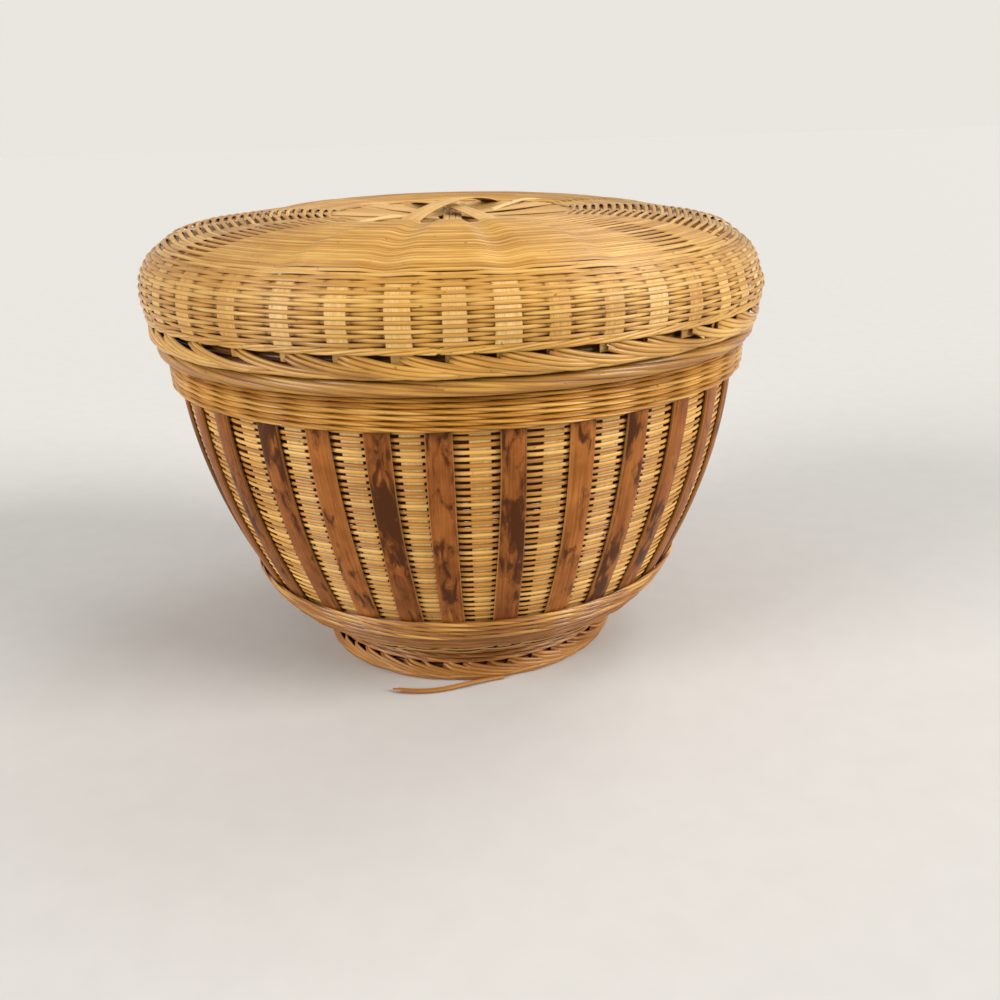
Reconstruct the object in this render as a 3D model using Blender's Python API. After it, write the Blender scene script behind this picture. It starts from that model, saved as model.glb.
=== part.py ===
"""Round basket with a domed lid, woven from split cane over flat stakes.

Brown bamboo slats stand round the outside of the wall, tucked under a twined band at each end.
The basket stands on a plaited foot ring, and the lid drops over a collar and rests on the rim roll.
Lengths are metres, +Z is up, and the origin is the middle of the plane that the foot stands on.
The front, with the loose reed end, faces -Y. Azimuths are measured from the front towards +X.
"""

import math

import bmesh
import bpy
from mathutils import Vector

# Fits
SEAT_GAP = 0.0003
LID_PLAY = 0.0016

# Foot
FOOT_RADIUS = 0.0785
FOOT_WALL_THICKNESS = 0.0035
FOOT_WALL_HEIGHT = 0.0105
FOOT_BRAID_HEIGHT = 0.0093
FOOT_BRAID_THICKNESS = 0.0062
FOOT_BRAID_BULGE = 0.0015

# Base
BASE_THICKNESS = 0.0026
BASE_RISE = 0.0110
BASE_KNUCKLE_RADIUS_SHARE = 0.62
BASE_KNUCKLE_HEIGHT_SHARE = 0.34

# Wall
WALL_FOOT_RADIUS = 0.1008
WALL_MOUTH_RADIUS = 0.1402
WALL_BULGE = 0.0118
WALL_HEIGHT = 0.1483
WALL_THICKNESS = 0.0026

# Stakes inside the wall, joined at the top where their ends are turned down into the rim
STAKE_TOP_WIDTH = 0.0090
STAKE_FOOT_WIDTH = 0.0075
STAKE_THICKNESS = 0.0009
STAKE_LOCK_HEIGHT = 0.0070

# Bamboo slats outside the wall
SLAT_COUNT = 31
SLAT_WIDTH = 0.0115
SLAT_THICKNESS = 0.0016
SLAT_TUCK = 0.0065
FIRST_SLAT_AZIMUTH_DEG = -46.6

# Bands, hoops and rim
BASE_HOOP_HEIGHT = 0.0075
BASE_HOOP_THICKNESS = 0.0019
LOWER_BAND_HEIGHT = 0.0117
UPPER_BAND_HEIGHT = 0.0147
LOWER_BAND_THICKNESS = 0.0019
UPPER_BAND_THICKNESS = 0.0032
ROLL_HEIGHT = 0.0075
ROLL_THICKNESS = 0.0098
COLLAR_HEIGHT = 0.0072
COLLAR_HOOP_THICKNESS = 0.0020

# Lid
LID_BRAID_HEIGHT = 0.0102
LID_BRAID_THICKNESS = 0.0088
LID_SIDE_FLARE = 0.0021
LID_SHELL_HEIGHT = 0.0419
LID_THICKNESS = 0.0024
LID_STAKE_COUNT = 43
LID_STAKE_WIDTH = 0.0055
LID_STAKE_THICKNESS = 0.0009
LID_STAKE_LOCK_HEIGHT = 0.0040

# Hub in the middle of the lid
HUB_DISH_RADIUS = 0.0560
HUB_DISH_DEPTH = 0.0040
HUB_DISH_SLOPE = 0.0050
HUB_STRAP_WIDTH = 0.0095
HUB_STRAP_THICKNESS = 0.0007
# One azimuth for each strap, the lowest strap first
HUB_STRAP_AZIMUTHS_DEG = (90.0, 45.0, 128.0, 2.0, 20.0, 162.0)

# The hand-made lid is uneven: its crown leans back and to the left, and its right side is drawn in
CROWN_BACK_SLOPE_SHARE = 0.019
CROWN_RIGHT_SLOPE_SHARE = -0.013
CROWN_BACK_RISE = 0.0022
SIDE_DRAW_IN = 0.0028

# Loose reed end in front of the foot
LOOSE_END_RADIUS = 0.0013
LOOSE_END_STANDOFF = 0.0131
LOOSE_END_START_DEG = 9.0
LOOSE_END_TIP_DEG = -22.8

# Facets
RING_SEGMENTS = 48
WALL_SPAN_COUNT = 8
STAKE_SPAN_COUNT = 4
SLAT_SPAN_COUNT = 6
BAND_SPAN_COUNT = 2
LOOSE_END_STEP_COUNT = 14
LOOSE_END_BEVEL_RESOLUTION = 2
SMOOTH_ANGLE_DEG = 35.0

# Shares of the slat spacing by which the nine slats in front stand off their even places
FRONT_SLAT_SHIFT_SHARES = (0.0, 0.13, 0.06, 0.0, -0.13, -0.07, 0.01, -0.02, -0.06)
# The other slats wander by this share of the spacing
SLAT_WANDER_SHARE = 0.05

# Outline of the lid outside the hub, as shares of the lid's radius and of its shell's height
LID_OUTLINE_SHARES = (
    (0.516, 1.000),
    (0.645, 0.976),
    (0.774, 0.919),
    (0.871, 0.838),
    (0.948, 0.704),
    (0.986, 0.552),
    (1.000, 0.374),
    (1.000, 0.145),
)
# Crest of the first weaver beside the hub, as a share of the shell's height
HUB_RIM_HEIGHT_SHARE = 0.9875
# Radii of the hub's dish inside its edge, as shares of the dish's radius, and the power of its curve
HUB_RING_SHARES = (0.0, 0.5, 0.75)
HUB_CURVE_POWER_SHARE = 4.0

# Heights over which the lid's lean and its drawn-in side set in, as shares of the shell's height
LEAN_HEIGHT_SHARES = (0.06, 0.82)
DRAW_IN_HEIGHT_SHARES = (0.145, 0.374)
# Distances from the middle over which the back's rise and the drawn-in side set in, as shares of the radius
BACK_RISE_SHARES = (0.40, 0.68)
DRAW_IN_SHARES = (0.515, 1.0)

# Sections across a strip: shares of its width, and of its thickness above its seat
FLAT_SECTION_SHARES = ((-0.5, 0.0), (-0.5, 1.0), (0.5, 1.0), (0.5, 0.0))
SLAT_SECTION_SHARES = ((-0.5, 0.0), (-0.5, 0.6), (-0.22, 1.0), (0.22, 1.0), (0.5, 0.6), (0.5, 0.0))
# Section of a rope-like ring: shares of its thickness from the inside, and of its height
ROLL_SECTION_SHARES = ((0.0, 0.2), (0.2, 0.0), (0.78, 0.0), (1.0, 0.3), (1.0, 0.7), (0.9, 1.0), (0.0, 1.0))
# Section of a band: share of its full thickness left at its edges
BAND_EDGE_SHARE = 0.7

# Colours in linear light, with roughness
VARNISHED_CANE = ((0.56, 0.30, 0.08), 0.35)
PALE_CANE = ((0.62, 0.42, 0.18), 0.45)
BROWN_BAMBOO = ((0.30, 0.12, 0.03), 0.32)
ORANGE_CANE = ((0.45, 0.20, 0.05), 0.38)

# Levels up the basket
FOOT_TOP = FOOT_BRAID_HEIGHT + SEAT_GAP + FOOT_WALL_HEIGHT
BASE_BOTTOM = FOOT_TOP + SEAT_GAP
BASE_RIM = BASE_BOTTOM + BASE_RISE
WALL_BOTTOM = BASE_RIM + SEAT_GAP
WALL_TOP = WALL_BOTTOM + WALL_HEIGHT
BASE_HOOP_TOP = WALL_BOTTOM + BASE_HOOP_HEIGHT
LOWER_BAND_BOTTOM = BASE_HOOP_TOP + SEAT_GAP
LOWER_BAND_TOP = LOWER_BAND_BOTTOM + LOWER_BAND_HEIGHT
ROLL_TOP = WALL_TOP - COLLAR_HEIGHT
ROLL_BOTTOM = ROLL_TOP - ROLL_HEIGHT
UPPER_BAND_TOP = ROLL_BOTTOM - SEAT_GAP
UPPER_BAND_BOTTOM = UPPER_BAND_TOP - UPPER_BAND_HEIGHT
LID_SEAT = ROLL_TOP + SEAT_GAP
LID_BRAID_TOP = LID_SEAT + LID_BRAID_HEIGHT
LID_SHELL_BOTTOM = LID_BRAID_TOP + SEAT_GAP


def facet_dip(radius):
    """How far the middle of a ring's flat facet lies inside its corners."""
    return radius * (1.0 - math.cos(math.pi / RING_SEGMENTS))


def wall_radius(height):
    """Outer radius of the woven wall at a height: a straight flare with an even bulge."""
    share = (height - WALL_BOTTOM) / WALL_HEIGHT
    flare = (WALL_MOUTH_RADIUS - WALL_FOOT_RADIUS) * share
    bulge = WALL_BULGE * (1.0 - (2.0 * share - 1.0) ** 2)
    return WALL_FOOT_RADIUS + flare + bulge


def slat_face_radius(height):
    """Radius of the slats' outer faces at a height."""
    return wall_radius(height) + SEAT_GAP + SLAT_THICKNESS


def even_steps(start, end, spans):
    """Evenly spaced values from start to end."""
    return [start + (end - start) * step / spans for step in range(spans + 1)]


def slat_azimuths():
    """Azimuth of each slat in radians; hand work leaves the spacing uneven."""
    pitch = 2.0 * math.pi / SLAT_COUNT
    azimuths = []
    for index in range(SLAT_COUNT):
        if index < len(FRONT_SLAT_SHIFT_SHARES):
            shift = FRONT_SLAT_SHIFT_SHARES[index]
        else:
            shift = SLAT_WANDER_SHARE * math.sin(index * index)
        azimuths.append(math.radians(FIRST_SLAT_AZIMUTH_DEG) + pitch * (index + shift))
    return azimuths


def stake_azimuths():
    """One stake behind each slat and one halfway to the next slat."""
    slats = slat_azimuths()
    following = slats[1:] + [slats[0] + 2.0 * math.pi]
    azimuths = []
    for here, after in zip(slats, following):
        azimuths.append(here)
        azimuths.append((here + after) / 2.0)
    return azimuths


def offset_outline(points, distance):
    """Move an outline of (radius, height) points along its normals, and return points and normals."""
    moved = []
    for index, (radius, height) in enumerate(points):
        before = points[max(index - 1, 0)]
        after = points[min(index + 1, len(points) - 1)]
        along = Vector((after[0] - before[0], after[1] - before[1])).normalized()
        normal = (-along.y, along.x)
        moved.append((radius + normal[0] * distance, height + normal[1] * distance, normal))
    return moved


def radial_place(azimuth, radius, across, height):
    """World point at a radius along an azimuth, moved sideways by across."""
    x = radius * math.sin(azimuth) + across * math.cos(azimuth)
    y = -radius * math.cos(azimuth) + across * math.sin(azimuth)
    return Vector((x, y, height))


def eased(value, low, high):
    """Share from 0 at low to 1 at high, eased at both ends."""
    share = min(max((value - low) / (high - low), 0.0), 1.0)
    return share * share * (3.0 - 2.0 * share)


def add_turned(mesh, outline):
    """Turn a closed outline of (radius, height) points about the Z axis."""
    rings = []
    for radius, height in outline:
        if radius == 0:
            rings.append([mesh.verts.new((0, 0, height))] * RING_SEGMENTS)
            continue
        ring = []
        for segment in range(RING_SEGMENTS):
            azimuth = 2.0 * math.pi * segment / RING_SEGMENTS
            ring.append(mesh.verts.new(radial_place(azimuth, radius, 0, height)))
        rings.append(ring)
    for lower, upper in zip(rings, rings[1:] + rings[:1]):
        for segment in range(RING_SEGMENTS):
            beside = (segment + 1) % RING_SEGMENTS
            corners = [lower[segment], lower[beside], upper[beside], upper[segment]]
            distinct = list(dict.fromkeys(corners))
            if len(distinct) > 2:
                mesh.faces.new(distinct)


def strip_rows(mesh, azimuth, stations, thickness, section_shares):
    """Corners of a strip's cross-sections at stations of (radius, height, normal, width)."""
    rows = []
    for radius, height, normal, width in stations:
        row = []
        for across_share, depth_share in section_shares:
            depth = thickness * depth_share
            place = radial_place(
                azimuth, radius + normal[0] * depth, width * across_share, height + normal[1] * depth
            )
            row.append(mesh.verts.new(place))
        rows.append(row)
    return rows


def add_strip(mesh, azimuth, stations, thickness, section_shares):
    """Lay a separate strip along its stations at one azimuth."""
    rows = strip_rows(mesh, azimuth, stations, thickness, section_shares)
    count = len(section_shares)
    for near, far in zip(rows, rows[1:]):
        for side in range(count):
            beside = (side + 1) % count
            mesh.faces.new((near[side], near[beside], far[beside], far[side]))
    mesh.faces.new(rows[0])
    mesh.faces.new(rows[-1])


def add_joined_strips(mesh, azimuths, stations, thickness):
    """Lay flat strips that are joined in a ring between their first two stations."""
    stakes = [strip_rows(mesh, azimuth, stations, thickness, FLAT_SECTION_SHARES) for azimuth in azimuths]
    for rows, next_rows in zip(stakes, stakes[1:] + stakes[:1]):
        mesh.faces.new(rows[0])
        mesh.faces.new(rows[-1])
        for near, far in zip(rows, rows[1:]):
            mesh.faces.new((near[0], near[3], far[3], far[0]))
            mesh.faces.new((near[1], near[2], far[2], far[1]))
        for near, far in zip(rows[1:], rows[2:]):
            mesh.faces.new((near[0], near[1], far[1], far[0]))
            mesh.faces.new((near[2], near[3], far[3], far[2]))
        free, locked = rows[:2]
        next_free, next_locked = next_rows[:2]
        mesh.faces.new((free[3], next_free[0], next_locked[0], locked[3]))
        mesh.faces.new((free[2], next_free[1], next_locked[1], locked[2]))
        mesh.faces.new((free[2], free[3], next_free[0], next_free[1]))
        mesh.faces.new((locked[2], locked[3], next_locked[0], next_locked[1]))


def make_material(name, finish):
    """Plain surface with the piece's colour and roughness."""
    colour, roughness = finish
    material = bpy.data.materials.new(name)
    material.use_nodes = True
    shader = material.node_tree.nodes["Principled BSDF"]
    shader.inputs["Base Color"].default_value = (*colour, 1.0)
    shader.inputs["Roughness"].default_value = roughness
    shader.inputs["Metallic"].default_value = 0.0
    return material


def place_object(piece, finish, parent):
    """Link a piece into the scene under its body, keeping it where it was modelled."""
    piece.data.materials.append(make_material(piece.name + "_finish", finish))
    bpy.context.collection.objects.link(piece)
    piece.parent = parent
    piece.location = -parent.location


def finish_mesh(name, mesh, finish, parent):
    """Turn a finished bmesh into a named object."""
    bmesh.ops.recalc_face_normals(mesh, faces=mesh.faces)
    data = bpy.data.meshes.new(name)
    mesh.to_mesh(data)
    mesh.free()
    data.shade_smooth()
    data.set_sharp_from_angle(angle=math.radians(SMOOTH_ANGLE_DEG))
    place_object(bpy.data.objects.new(name, data), finish, parent)


def make_turned(name, outline, finish, parent):
    """Named ring or shell turned from a closed outline."""
    mesh = bmesh.new()
    add_turned(mesh, outline)
    finish_mesh(name, mesh, finish, parent)


def band_outline(low, high, seat_radius, thickness):
    """Outline of a band whose inner face follows seat_radius and whose edges are eased."""
    heights = even_steps(low, high, BAND_SPAN_COUNT)
    inner = [(seat_radius(height), height) for height in heights]
    outer = []
    for height in heights:
        share = 1.0 if low < height < high else BAND_EDGE_SHARE
        outer.append((seat_radius(height) + thickness * share, height))
    return inner + outer[::-1]


def roll_outline(inner_radius, thickness, low, height):
    """Outline of a rope-like ring that stands on a level face."""
    return [
        (inner_radius + thickness * out_share, low + height * up_share)
        for out_share, up_share in ROLL_SECTION_SHARES
    ]


def make_foot(parent):
    """Foot wall of plain rows over a plaited ring with a flat underside."""
    inner = FOOT_RADIUS - FOOT_WALL_THICKNESS
    low = FOOT_BRAID_HEIGHT + SEAT_GAP
    wall = [(inner, low), (FOOT_RADIUS, low), (FOOT_RADIUS, FOOT_TOP), (inner, FOOT_TOP)]
    make_turned("foot_wall", wall, ORANGE_CANE, parent)
    braid_inner = foot_braid_radius() - FOOT_BRAID_THICKNESS
    braid = roll_outline(braid_inner, FOOT_BRAID_THICKNESS, 0, FOOT_BRAID_HEIGHT)
    make_turned("foot_braid", braid, ORANGE_CANE, parent)


def foot_braid_radius():
    """Outer radius of the plaited ring."""
    return FOOT_RADIUS + FOOT_BRAID_BULGE


def make_base(parent):
    """Woven floor: flat over the foot, then turned up to carry the wall."""
    knuckle_radius = FOOT_RADIUS + (WALL_FOOT_RADIUS - FOOT_RADIUS) * BASE_KNUCKLE_RADIUS_SHARE
    knuckle_height = BASE_BOTTOM + BASE_RISE * BASE_KNUCKLE_HEIGHT_SHARE
    under = [(0, BASE_BOTTOM), (FOOT_RADIUS, BASE_BOTTOM), (knuckle_radius, knuckle_height)]
    under.append((WALL_FOOT_RADIUS, BASE_RIM))
    lifted = offset_outline(under, BASE_THICKNESS)
    upper = [(radius, height) for radius, height, _normal in lifted[:-1]]
    upper[0] = (0, BASE_BOTTOM + BASE_THICKNESS)
    upper.append((WALL_FOOT_RADIUS - BASE_THICKNESS, BASE_RIM))
    make_turned("base_weave", under + upper[::-1], VARNISHED_CANE, parent)


def make_wall(parent):
    """Woven wall, open at the top, whose last rows stand up inside the lid as its collar."""
    heights = even_steps(WALL_BOTTOM, WALL_TOP, WALL_SPAN_COUNT)
    outer = [(wall_radius(height), height) for height in heights]
    inner = [(radius - WALL_THICKNESS, height) for radius, height in outer]
    make_turned("wall_weave", outer + inner[::-1], VARNISHED_CANE, parent)


def make_wall_stakes(parent):
    """Flat stakes against the inner face of the wall, one body through their turned-down ends."""
    mesh = bmesh.new()
    stations = []
    for height in [WALL_TOP] + even_steps(WALL_TOP - STAKE_LOCK_HEIGHT, WALL_BOTTOM, STAKE_SPAN_COUNT):
        share = (height - WALL_BOTTOM) / WALL_HEIGHT
        inner = wall_radius(height) - WALL_THICKNESS
        seat = inner - facet_dip(inner) - SEAT_GAP
        width = STAKE_FOOT_WIDTH + (STAKE_TOP_WIDTH - STAKE_FOOT_WIDTH) * share
        stations.append((seat, height, (-1.0, 0), width))
    add_joined_strips(mesh, stake_azimuths(), stations, STAKE_THICKNESS)
    finish_mesh("wall_stakes", mesh, PALE_CANE, parent)


def make_slats(parent):
    """Brown bamboo slats, each its own piece, with both ends tucked under a band."""
    low = LOWER_BAND_TOP - SLAT_TUCK
    high = UPPER_BAND_BOTTOM + SLAT_TUCK
    stations = []
    for height in even_steps(low, high, SLAT_SPAN_COUNT):
        stations.append((wall_radius(height) + SEAT_GAP, height, (1.0, 0), SLAT_WIDTH))
    for number, azimuth in enumerate(slat_azimuths(), start=1):
        mesh = bmesh.new()
        add_strip(mesh, azimuth, stations, SLAT_THICKNESS, SLAT_SECTION_SHARES)
        finish_mesh("slat_%02d" % number, mesh, BROWN_BAMBOO, parent)


def over_slats(height):
    """Inner radius of a ring that passes over the slats."""
    face = slat_face_radius(height)
    return face + SEAT_GAP + facet_dip(face)


def over_wall(height):
    """Inner radius of a ring that lies on the wall."""
    return wall_radius(height) + SEAT_GAP


def make_bands(parent):
    """Twined bands over the slat ends, and the smooth hoop at the bottom of the wall."""
    lower = band_outline(LOWER_BAND_BOTTOM, LOWER_BAND_TOP, over_slats, LOWER_BAND_THICKNESS)
    make_turned("lower_band", lower, VARNISHED_CANE, parent)
    upper = band_outline(UPPER_BAND_BOTTOM, UPPER_BAND_TOP, over_slats, UPPER_BAND_THICKNESS)
    make_turned("upper_band", upper, VARNISHED_CANE, parent)
    hoop = band_outline(WALL_BOTTOM, BASE_HOOP_TOP, over_wall, BASE_HOOP_THICKNESS)
    make_turned("base_hoop", hoop, ORANGE_CANE, parent)


def collar_hoop_radius():
    """Outer radius of the hoop that centres the lid."""
    return over_wall(ROLL_TOP) + COLLAR_HOOP_THICKNESS


def make_rim(parent):
    """Rim roll that the lid rests on, and the hoop round the collar that centres the lid."""
    seat = max(over_wall(ROLL_BOTTOM), over_wall(ROLL_TOP))
    roll = roll_outline(seat, ROLL_THICKNESS, ROLL_BOTTOM, ROLL_HEIGHT)
    make_turned("rim_roll", roll, VARNISHED_CANE, parent)
    low = ROLL_TOP + SEAT_GAP
    inner = max(over_wall(low), over_wall(WALL_TOP))
    outer = collar_hoop_radius()
    hoop = [(inner, low), (outer, low), (outer, WALL_TOP), (inner, WALL_TOP)]
    make_turned("collar_hoop", hoop, PALE_CANE, parent)


def make_loose_end(parent):
    """End of a foot reed that has sprung out and lies on the ground in front."""
    curve = bpy.data.curves.new("loose_reed_end", "CURVE")
    curve.dimensions = "3D"
    curve.bevel_depth = LOOSE_END_RADIUS
    curve.bevel_resolution = LOOSE_END_BEVEL_RESOLUTION
    curve.use_fill_caps = True
    spline = curve.splines.new("POLY")
    spline.points.add(LOOSE_END_STEP_COUNT)
    at_foot = foot_braid_radius() + SEAT_GAP + LOOSE_END_RADIUS
    for step, point in enumerate(spline.points):
        share = step / LOOSE_END_STEP_COUNT
        turn = LOOSE_END_START_DEG + (LOOSE_END_TIP_DEG - LOOSE_END_START_DEG) * share
        radius = at_foot + LOOSE_END_STANDOFF * eased(share, 0, 1.0)
        place = radial_place(math.radians(turn), radius, 0, LOOSE_END_RADIUS + SEAT_GAP)
        point.co = (*place, 1.0)
    place_object(bpy.data.objects.new("loose_reed_end", curve), ORANGE_CANE, parent)


def lid_braid_inner():
    """Inner radius of the lid's edge, which clears the collar hoop."""
    return collar_hoop_radius() + LID_PLAY


def lid_radius():
    """Widest outer radius of the lid."""
    return lid_braid_inner() + LID_BRAID_THICKNESS + LID_SIDE_FLARE


def hub_rim_radius():
    """Radius of the first weaver beside the hub."""
    return HUB_DISH_RADIUS + HUB_DISH_SLOPE


def hub_rim_height():
    """Height of the first weaver beside the hub."""
    return LID_SHELL_BOTTOM + LID_SHELL_HEIGHT * HUB_RIM_HEIGHT_SHARE


def hub_floor():
    """Height of the middle of the shallow dish in which the hub straps lie."""
    return LID_SHELL_BOTTOM + LID_SHELL_HEIGHT - HUB_DISH_DEPTH


def hub_radii():
    """Radii of the hub's dish from its middle to its edge."""
    return [HUB_DISH_RADIUS * share for share in HUB_RING_SHARES] + [HUB_DISH_RADIUS]


def hub_height(middle_height, rim_height, radius):
    """Height at a radius of a layer of the hub that has these heights in the middle and at the rim."""
    rim_share = (radius / hub_rim_radius()) ** HUB_CURVE_POWER_SHARE
    return middle_height + (rim_height - middle_height) * rim_share


def lid_skirt_outline():
    """Outer outline of the lid from the hub's rim to the lower edge."""
    radius = lid_radius()
    points = [(hub_rim_radius(), hub_rim_height())]
    for radius_share, height_share in LID_OUTLINE_SHARES:
        points.append((radius * radius_share, LID_SHELL_BOTTOM + LID_SHELL_HEIGHT * height_share))
    points.append((radius - LID_SIDE_FLARE, LID_SHELL_BOTTOM))
    return points


def lean_lid(mesh):
    """Lean the crown and draw in the right side of a mesh that belongs to the lid."""
    radius = lid_radius()
    for vertex in mesh.verts:
        across, back, height = vertex.co
        height_share = (height - LID_SHELL_BOTTOM) / LID_SHELL_HEIGHT
        rise = CROWN_BACK_SLOPE_SHARE * back + CROWN_RIGHT_SLOPE_SHARE * across
        rise += CROWN_BACK_RISE * eased(back / radius, *BACK_RISE_SHARES)
        draw_in = SIDE_DRAW_IN * eased(across / radius, *DRAW_IN_SHARES)
        vertex.co.x -= draw_in * eased(height_share, *DRAW_IN_HEIGHT_SHARES)
        vertex.co.z += rise * eased(height_share, *LEAN_HEIGHT_SHARES)


def make_lid_weave(parent):
    """Domed shell of the lid with its side, closed at the top and open below."""
    mesh = bmesh.new()
    dish = [(radius, hub_height(hub_floor(), hub_rim_height(), radius)) for radius in hub_radii()]
    outer = dish + lid_skirt_outline()
    inner = [(radius, height) for radius, height, _normal in offset_outline(outer, -LID_THICKNESS)]
    inner[0] = (0, hub_floor() - LID_THICKNESS)
    inner[-1] = (outer[-1][0] - LID_THICKNESS, LID_SHELL_BOTTOM)
    add_turned(mesh, outer + inner[::-1])
    lean_lid(mesh)
    finish_mesh("lid_weave", mesh, VARNISHED_CANE, parent)


def make_lid_stakes(parent):
    """Flat radial stakes against the inner face of the lid, one body through their locked ends."""
    mesh = bmesh.new()
    outline = lid_skirt_outline()
    edge_radius = outline[-1][0]
    outline.insert(-1, (edge_radius, LID_SHELL_BOTTOM + LID_STAKE_LOCK_HEIGHT))
    depth = LID_THICKNESS + SEAT_GAP + facet_dip(lid_radius())
    stations = []
    for radius, height, normal in offset_outline(outline, -depth)[:0:-1]:
        stations.append((radius, height, (-normal[0], -normal[1]), LID_STAKE_WIDTH))
    azimuths = [2.0 * math.pi * index / LID_STAKE_COUNT for index in range(LID_STAKE_COUNT)]
    add_joined_strips(mesh, azimuths, stations, LID_STAKE_THICKNESS)
    lean_lid(mesh)
    finish_mesh("lid_stakes", mesh, PALE_CANE, parent)


def make_hub_straps(parent):
    """Flat straps that cross one over another in the middle of the lid and rest on the hub's rim."""
    radii = hub_radii() + [hub_rim_radius()]
    places = [-radius for radius in radii[:0:-1]] + radii
    for index, azimuth_deg in enumerate(HUB_STRAP_AZIMUTHS_DEG):
        mesh = bmesh.new()
        middle_height = hub_floor() + SEAT_GAP + index * (HUB_STRAP_THICKNESS + SEAT_GAP)
        stations = []
        for place in places:
            height = hub_height(middle_height, hub_rim_height() + SEAT_GAP, abs(place))
            stations.append((place, height, (0, 1.0), HUB_STRAP_WIDTH))
        add_strip(mesh, math.radians(azimuth_deg), stations, HUB_STRAP_THICKNESS, FLAT_SECTION_SHARES)
        lean_lid(mesh)
        finish_mesh("lid_hub_strap_%d" % (index + 1), mesh, PALE_CANE, parent)


def make_lid_braid(parent):
    """Plaited edge of the lid, which goes round the collar hoop and rests on the rim roll."""
    outline = roll_outline(lid_braid_inner(), LID_BRAID_THICKNESS, LID_SEAT, LID_BRAID_HEIGHT)
    make_turned("lid_braid", outline, VARNISHED_CANE, parent)


def make_body(name, height):
    """Empty that carries the pieces of one body."""
    body = bpy.data.objects.new(name, None)
    body.location = (0, 0, height)
    bpy.context.collection.objects.link(body)
    return body


def main():
    for old in list(bpy.data.objects):
        bpy.data.objects.remove(old)
    basket = make_body("basket_body", 0)
    make_foot(basket)
    make_base(basket)
    make_wall(basket)
    make_wall_stakes(basket)
    make_slats(basket)
    make_bands(basket)
    make_rim(basket)
    make_loose_end(basket)
    lid = make_body("lid_lift_joint", LID_SEAT)
    make_lid_weave(lid)
    make_lid_stakes(lid)
    make_hub_straps(lid)
    make_lid_braid(lid)


main()
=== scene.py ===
"""Looks of the woven basket with its domed lid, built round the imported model.

Every strand is laid along its own path: over and under the stakes in the wall and the lid, twisted in the
bands and the rim roll, and plaited at the edges of the foot and the lid.
Lengths are metres. Azimuths are measured from the front (-Y) towards +X, as in the part.
"""

import math
from collections import namedtuple

import bpy
import numpy as np
from mathutils import Matrix, Vector


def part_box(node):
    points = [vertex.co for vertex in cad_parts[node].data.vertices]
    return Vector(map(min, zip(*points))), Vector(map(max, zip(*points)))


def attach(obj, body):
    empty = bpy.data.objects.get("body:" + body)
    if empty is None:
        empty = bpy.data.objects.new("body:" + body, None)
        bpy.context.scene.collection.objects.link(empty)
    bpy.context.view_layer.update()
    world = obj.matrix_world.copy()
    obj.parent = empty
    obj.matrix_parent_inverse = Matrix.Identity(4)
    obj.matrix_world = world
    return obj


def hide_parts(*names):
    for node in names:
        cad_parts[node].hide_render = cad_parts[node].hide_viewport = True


SEED = 11
TURN = 2.0 * math.pi
UP = (0.0, 0.0, 1.0)

# Camera, from the view of the photograph
CAMERA_PLACE = (0.021677, -0.52424, 0.26101)
CAMERA_PITCH = 0.35235
CAMERA_YAW = -0.0045702
CAMERA_ROLL = -0.0321917
CAMERA_LENS_MM = 36.0

# Floor and light
FLOOR_SIZE = 60.0
FLOOR_SPECKLE = (60.0, 3.0)
FLOOR_STOPS = ((0.3, (0.582, 0.5723, 0.5626)), (0.7, (0.60, 0.59, 0.58)))
FLOOR_ROUGHNESS = 0.9
BACKGROUND_COLOUR = (0.822, 0.790, 0.744)
SKY_COLOUR = (1.0, 0.985, 0.955)
SKY_STRENGTH = 0.5
# Each lamp: azimuth and elevation in degrees, angle across in degrees, strength
LAMPS = (
    ("window_light", -60.0, 21.0, 32.0, 2.45),
    ("room_light", 69.0, 25.0, 32.0, 3.2),
    ("back_light", 130.0, 52.0, 30.0, 0.7),
)
LAMP_COLOUR = (1.0, 0.97, 0.92)

# Kinds of cane: dark, middle and light tone, roughness, varnish, painted crease shade, grain round the strand
CANES = (
    ("golden_cane", (0.26, 0.096, 0.013), (0.60, 0.315, 0.062), (0.83, 0.56, 0.185), 0.33, 0.25, 0.7, 5.0),
    ("straw_cane", (0.35, 0.135, 0.018), (0.64, 0.305, 0.054), (0.82, 0.50, 0.145), 0.34, 0.2, 0.7, 5.0),
    ("amber_cane", (0.24, 0.078, 0.010), (0.55, 0.258, 0.044), (0.78, 0.47, 0.13), 0.28, 0.3, 0.7, 5.0),
    ("pale_cane", (0.47, 0.22, 0.045), (0.72, 0.43, 0.125), (0.84, 0.60, 0.27), 0.42, 0.1, 0.4, 14.0),
    ("brown_cane", (0.15, 0.044, 0.006), (0.35, 0.140, 0.026), (0.52, 0.25, 0.065), 0.38, 0.15, 0.7, 5.0),
    # The dark matte cane is painted shade, for the rows that lie deep behind the wall's stakes
    ("deep_shade_cane", (0.15, 0.050, 0.010), (0.34, 0.150, 0.032), (0.48, 0.25, 0.075), 0.7, 0.0, 0.7, 5.0),
    ("tan_cane", (0.42, 0.20, 0.050), (0.68, 0.40, 0.130), (0.78, 0.53, 0.22), 0.5, 0.0, 0.5, 9.0),
)

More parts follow.
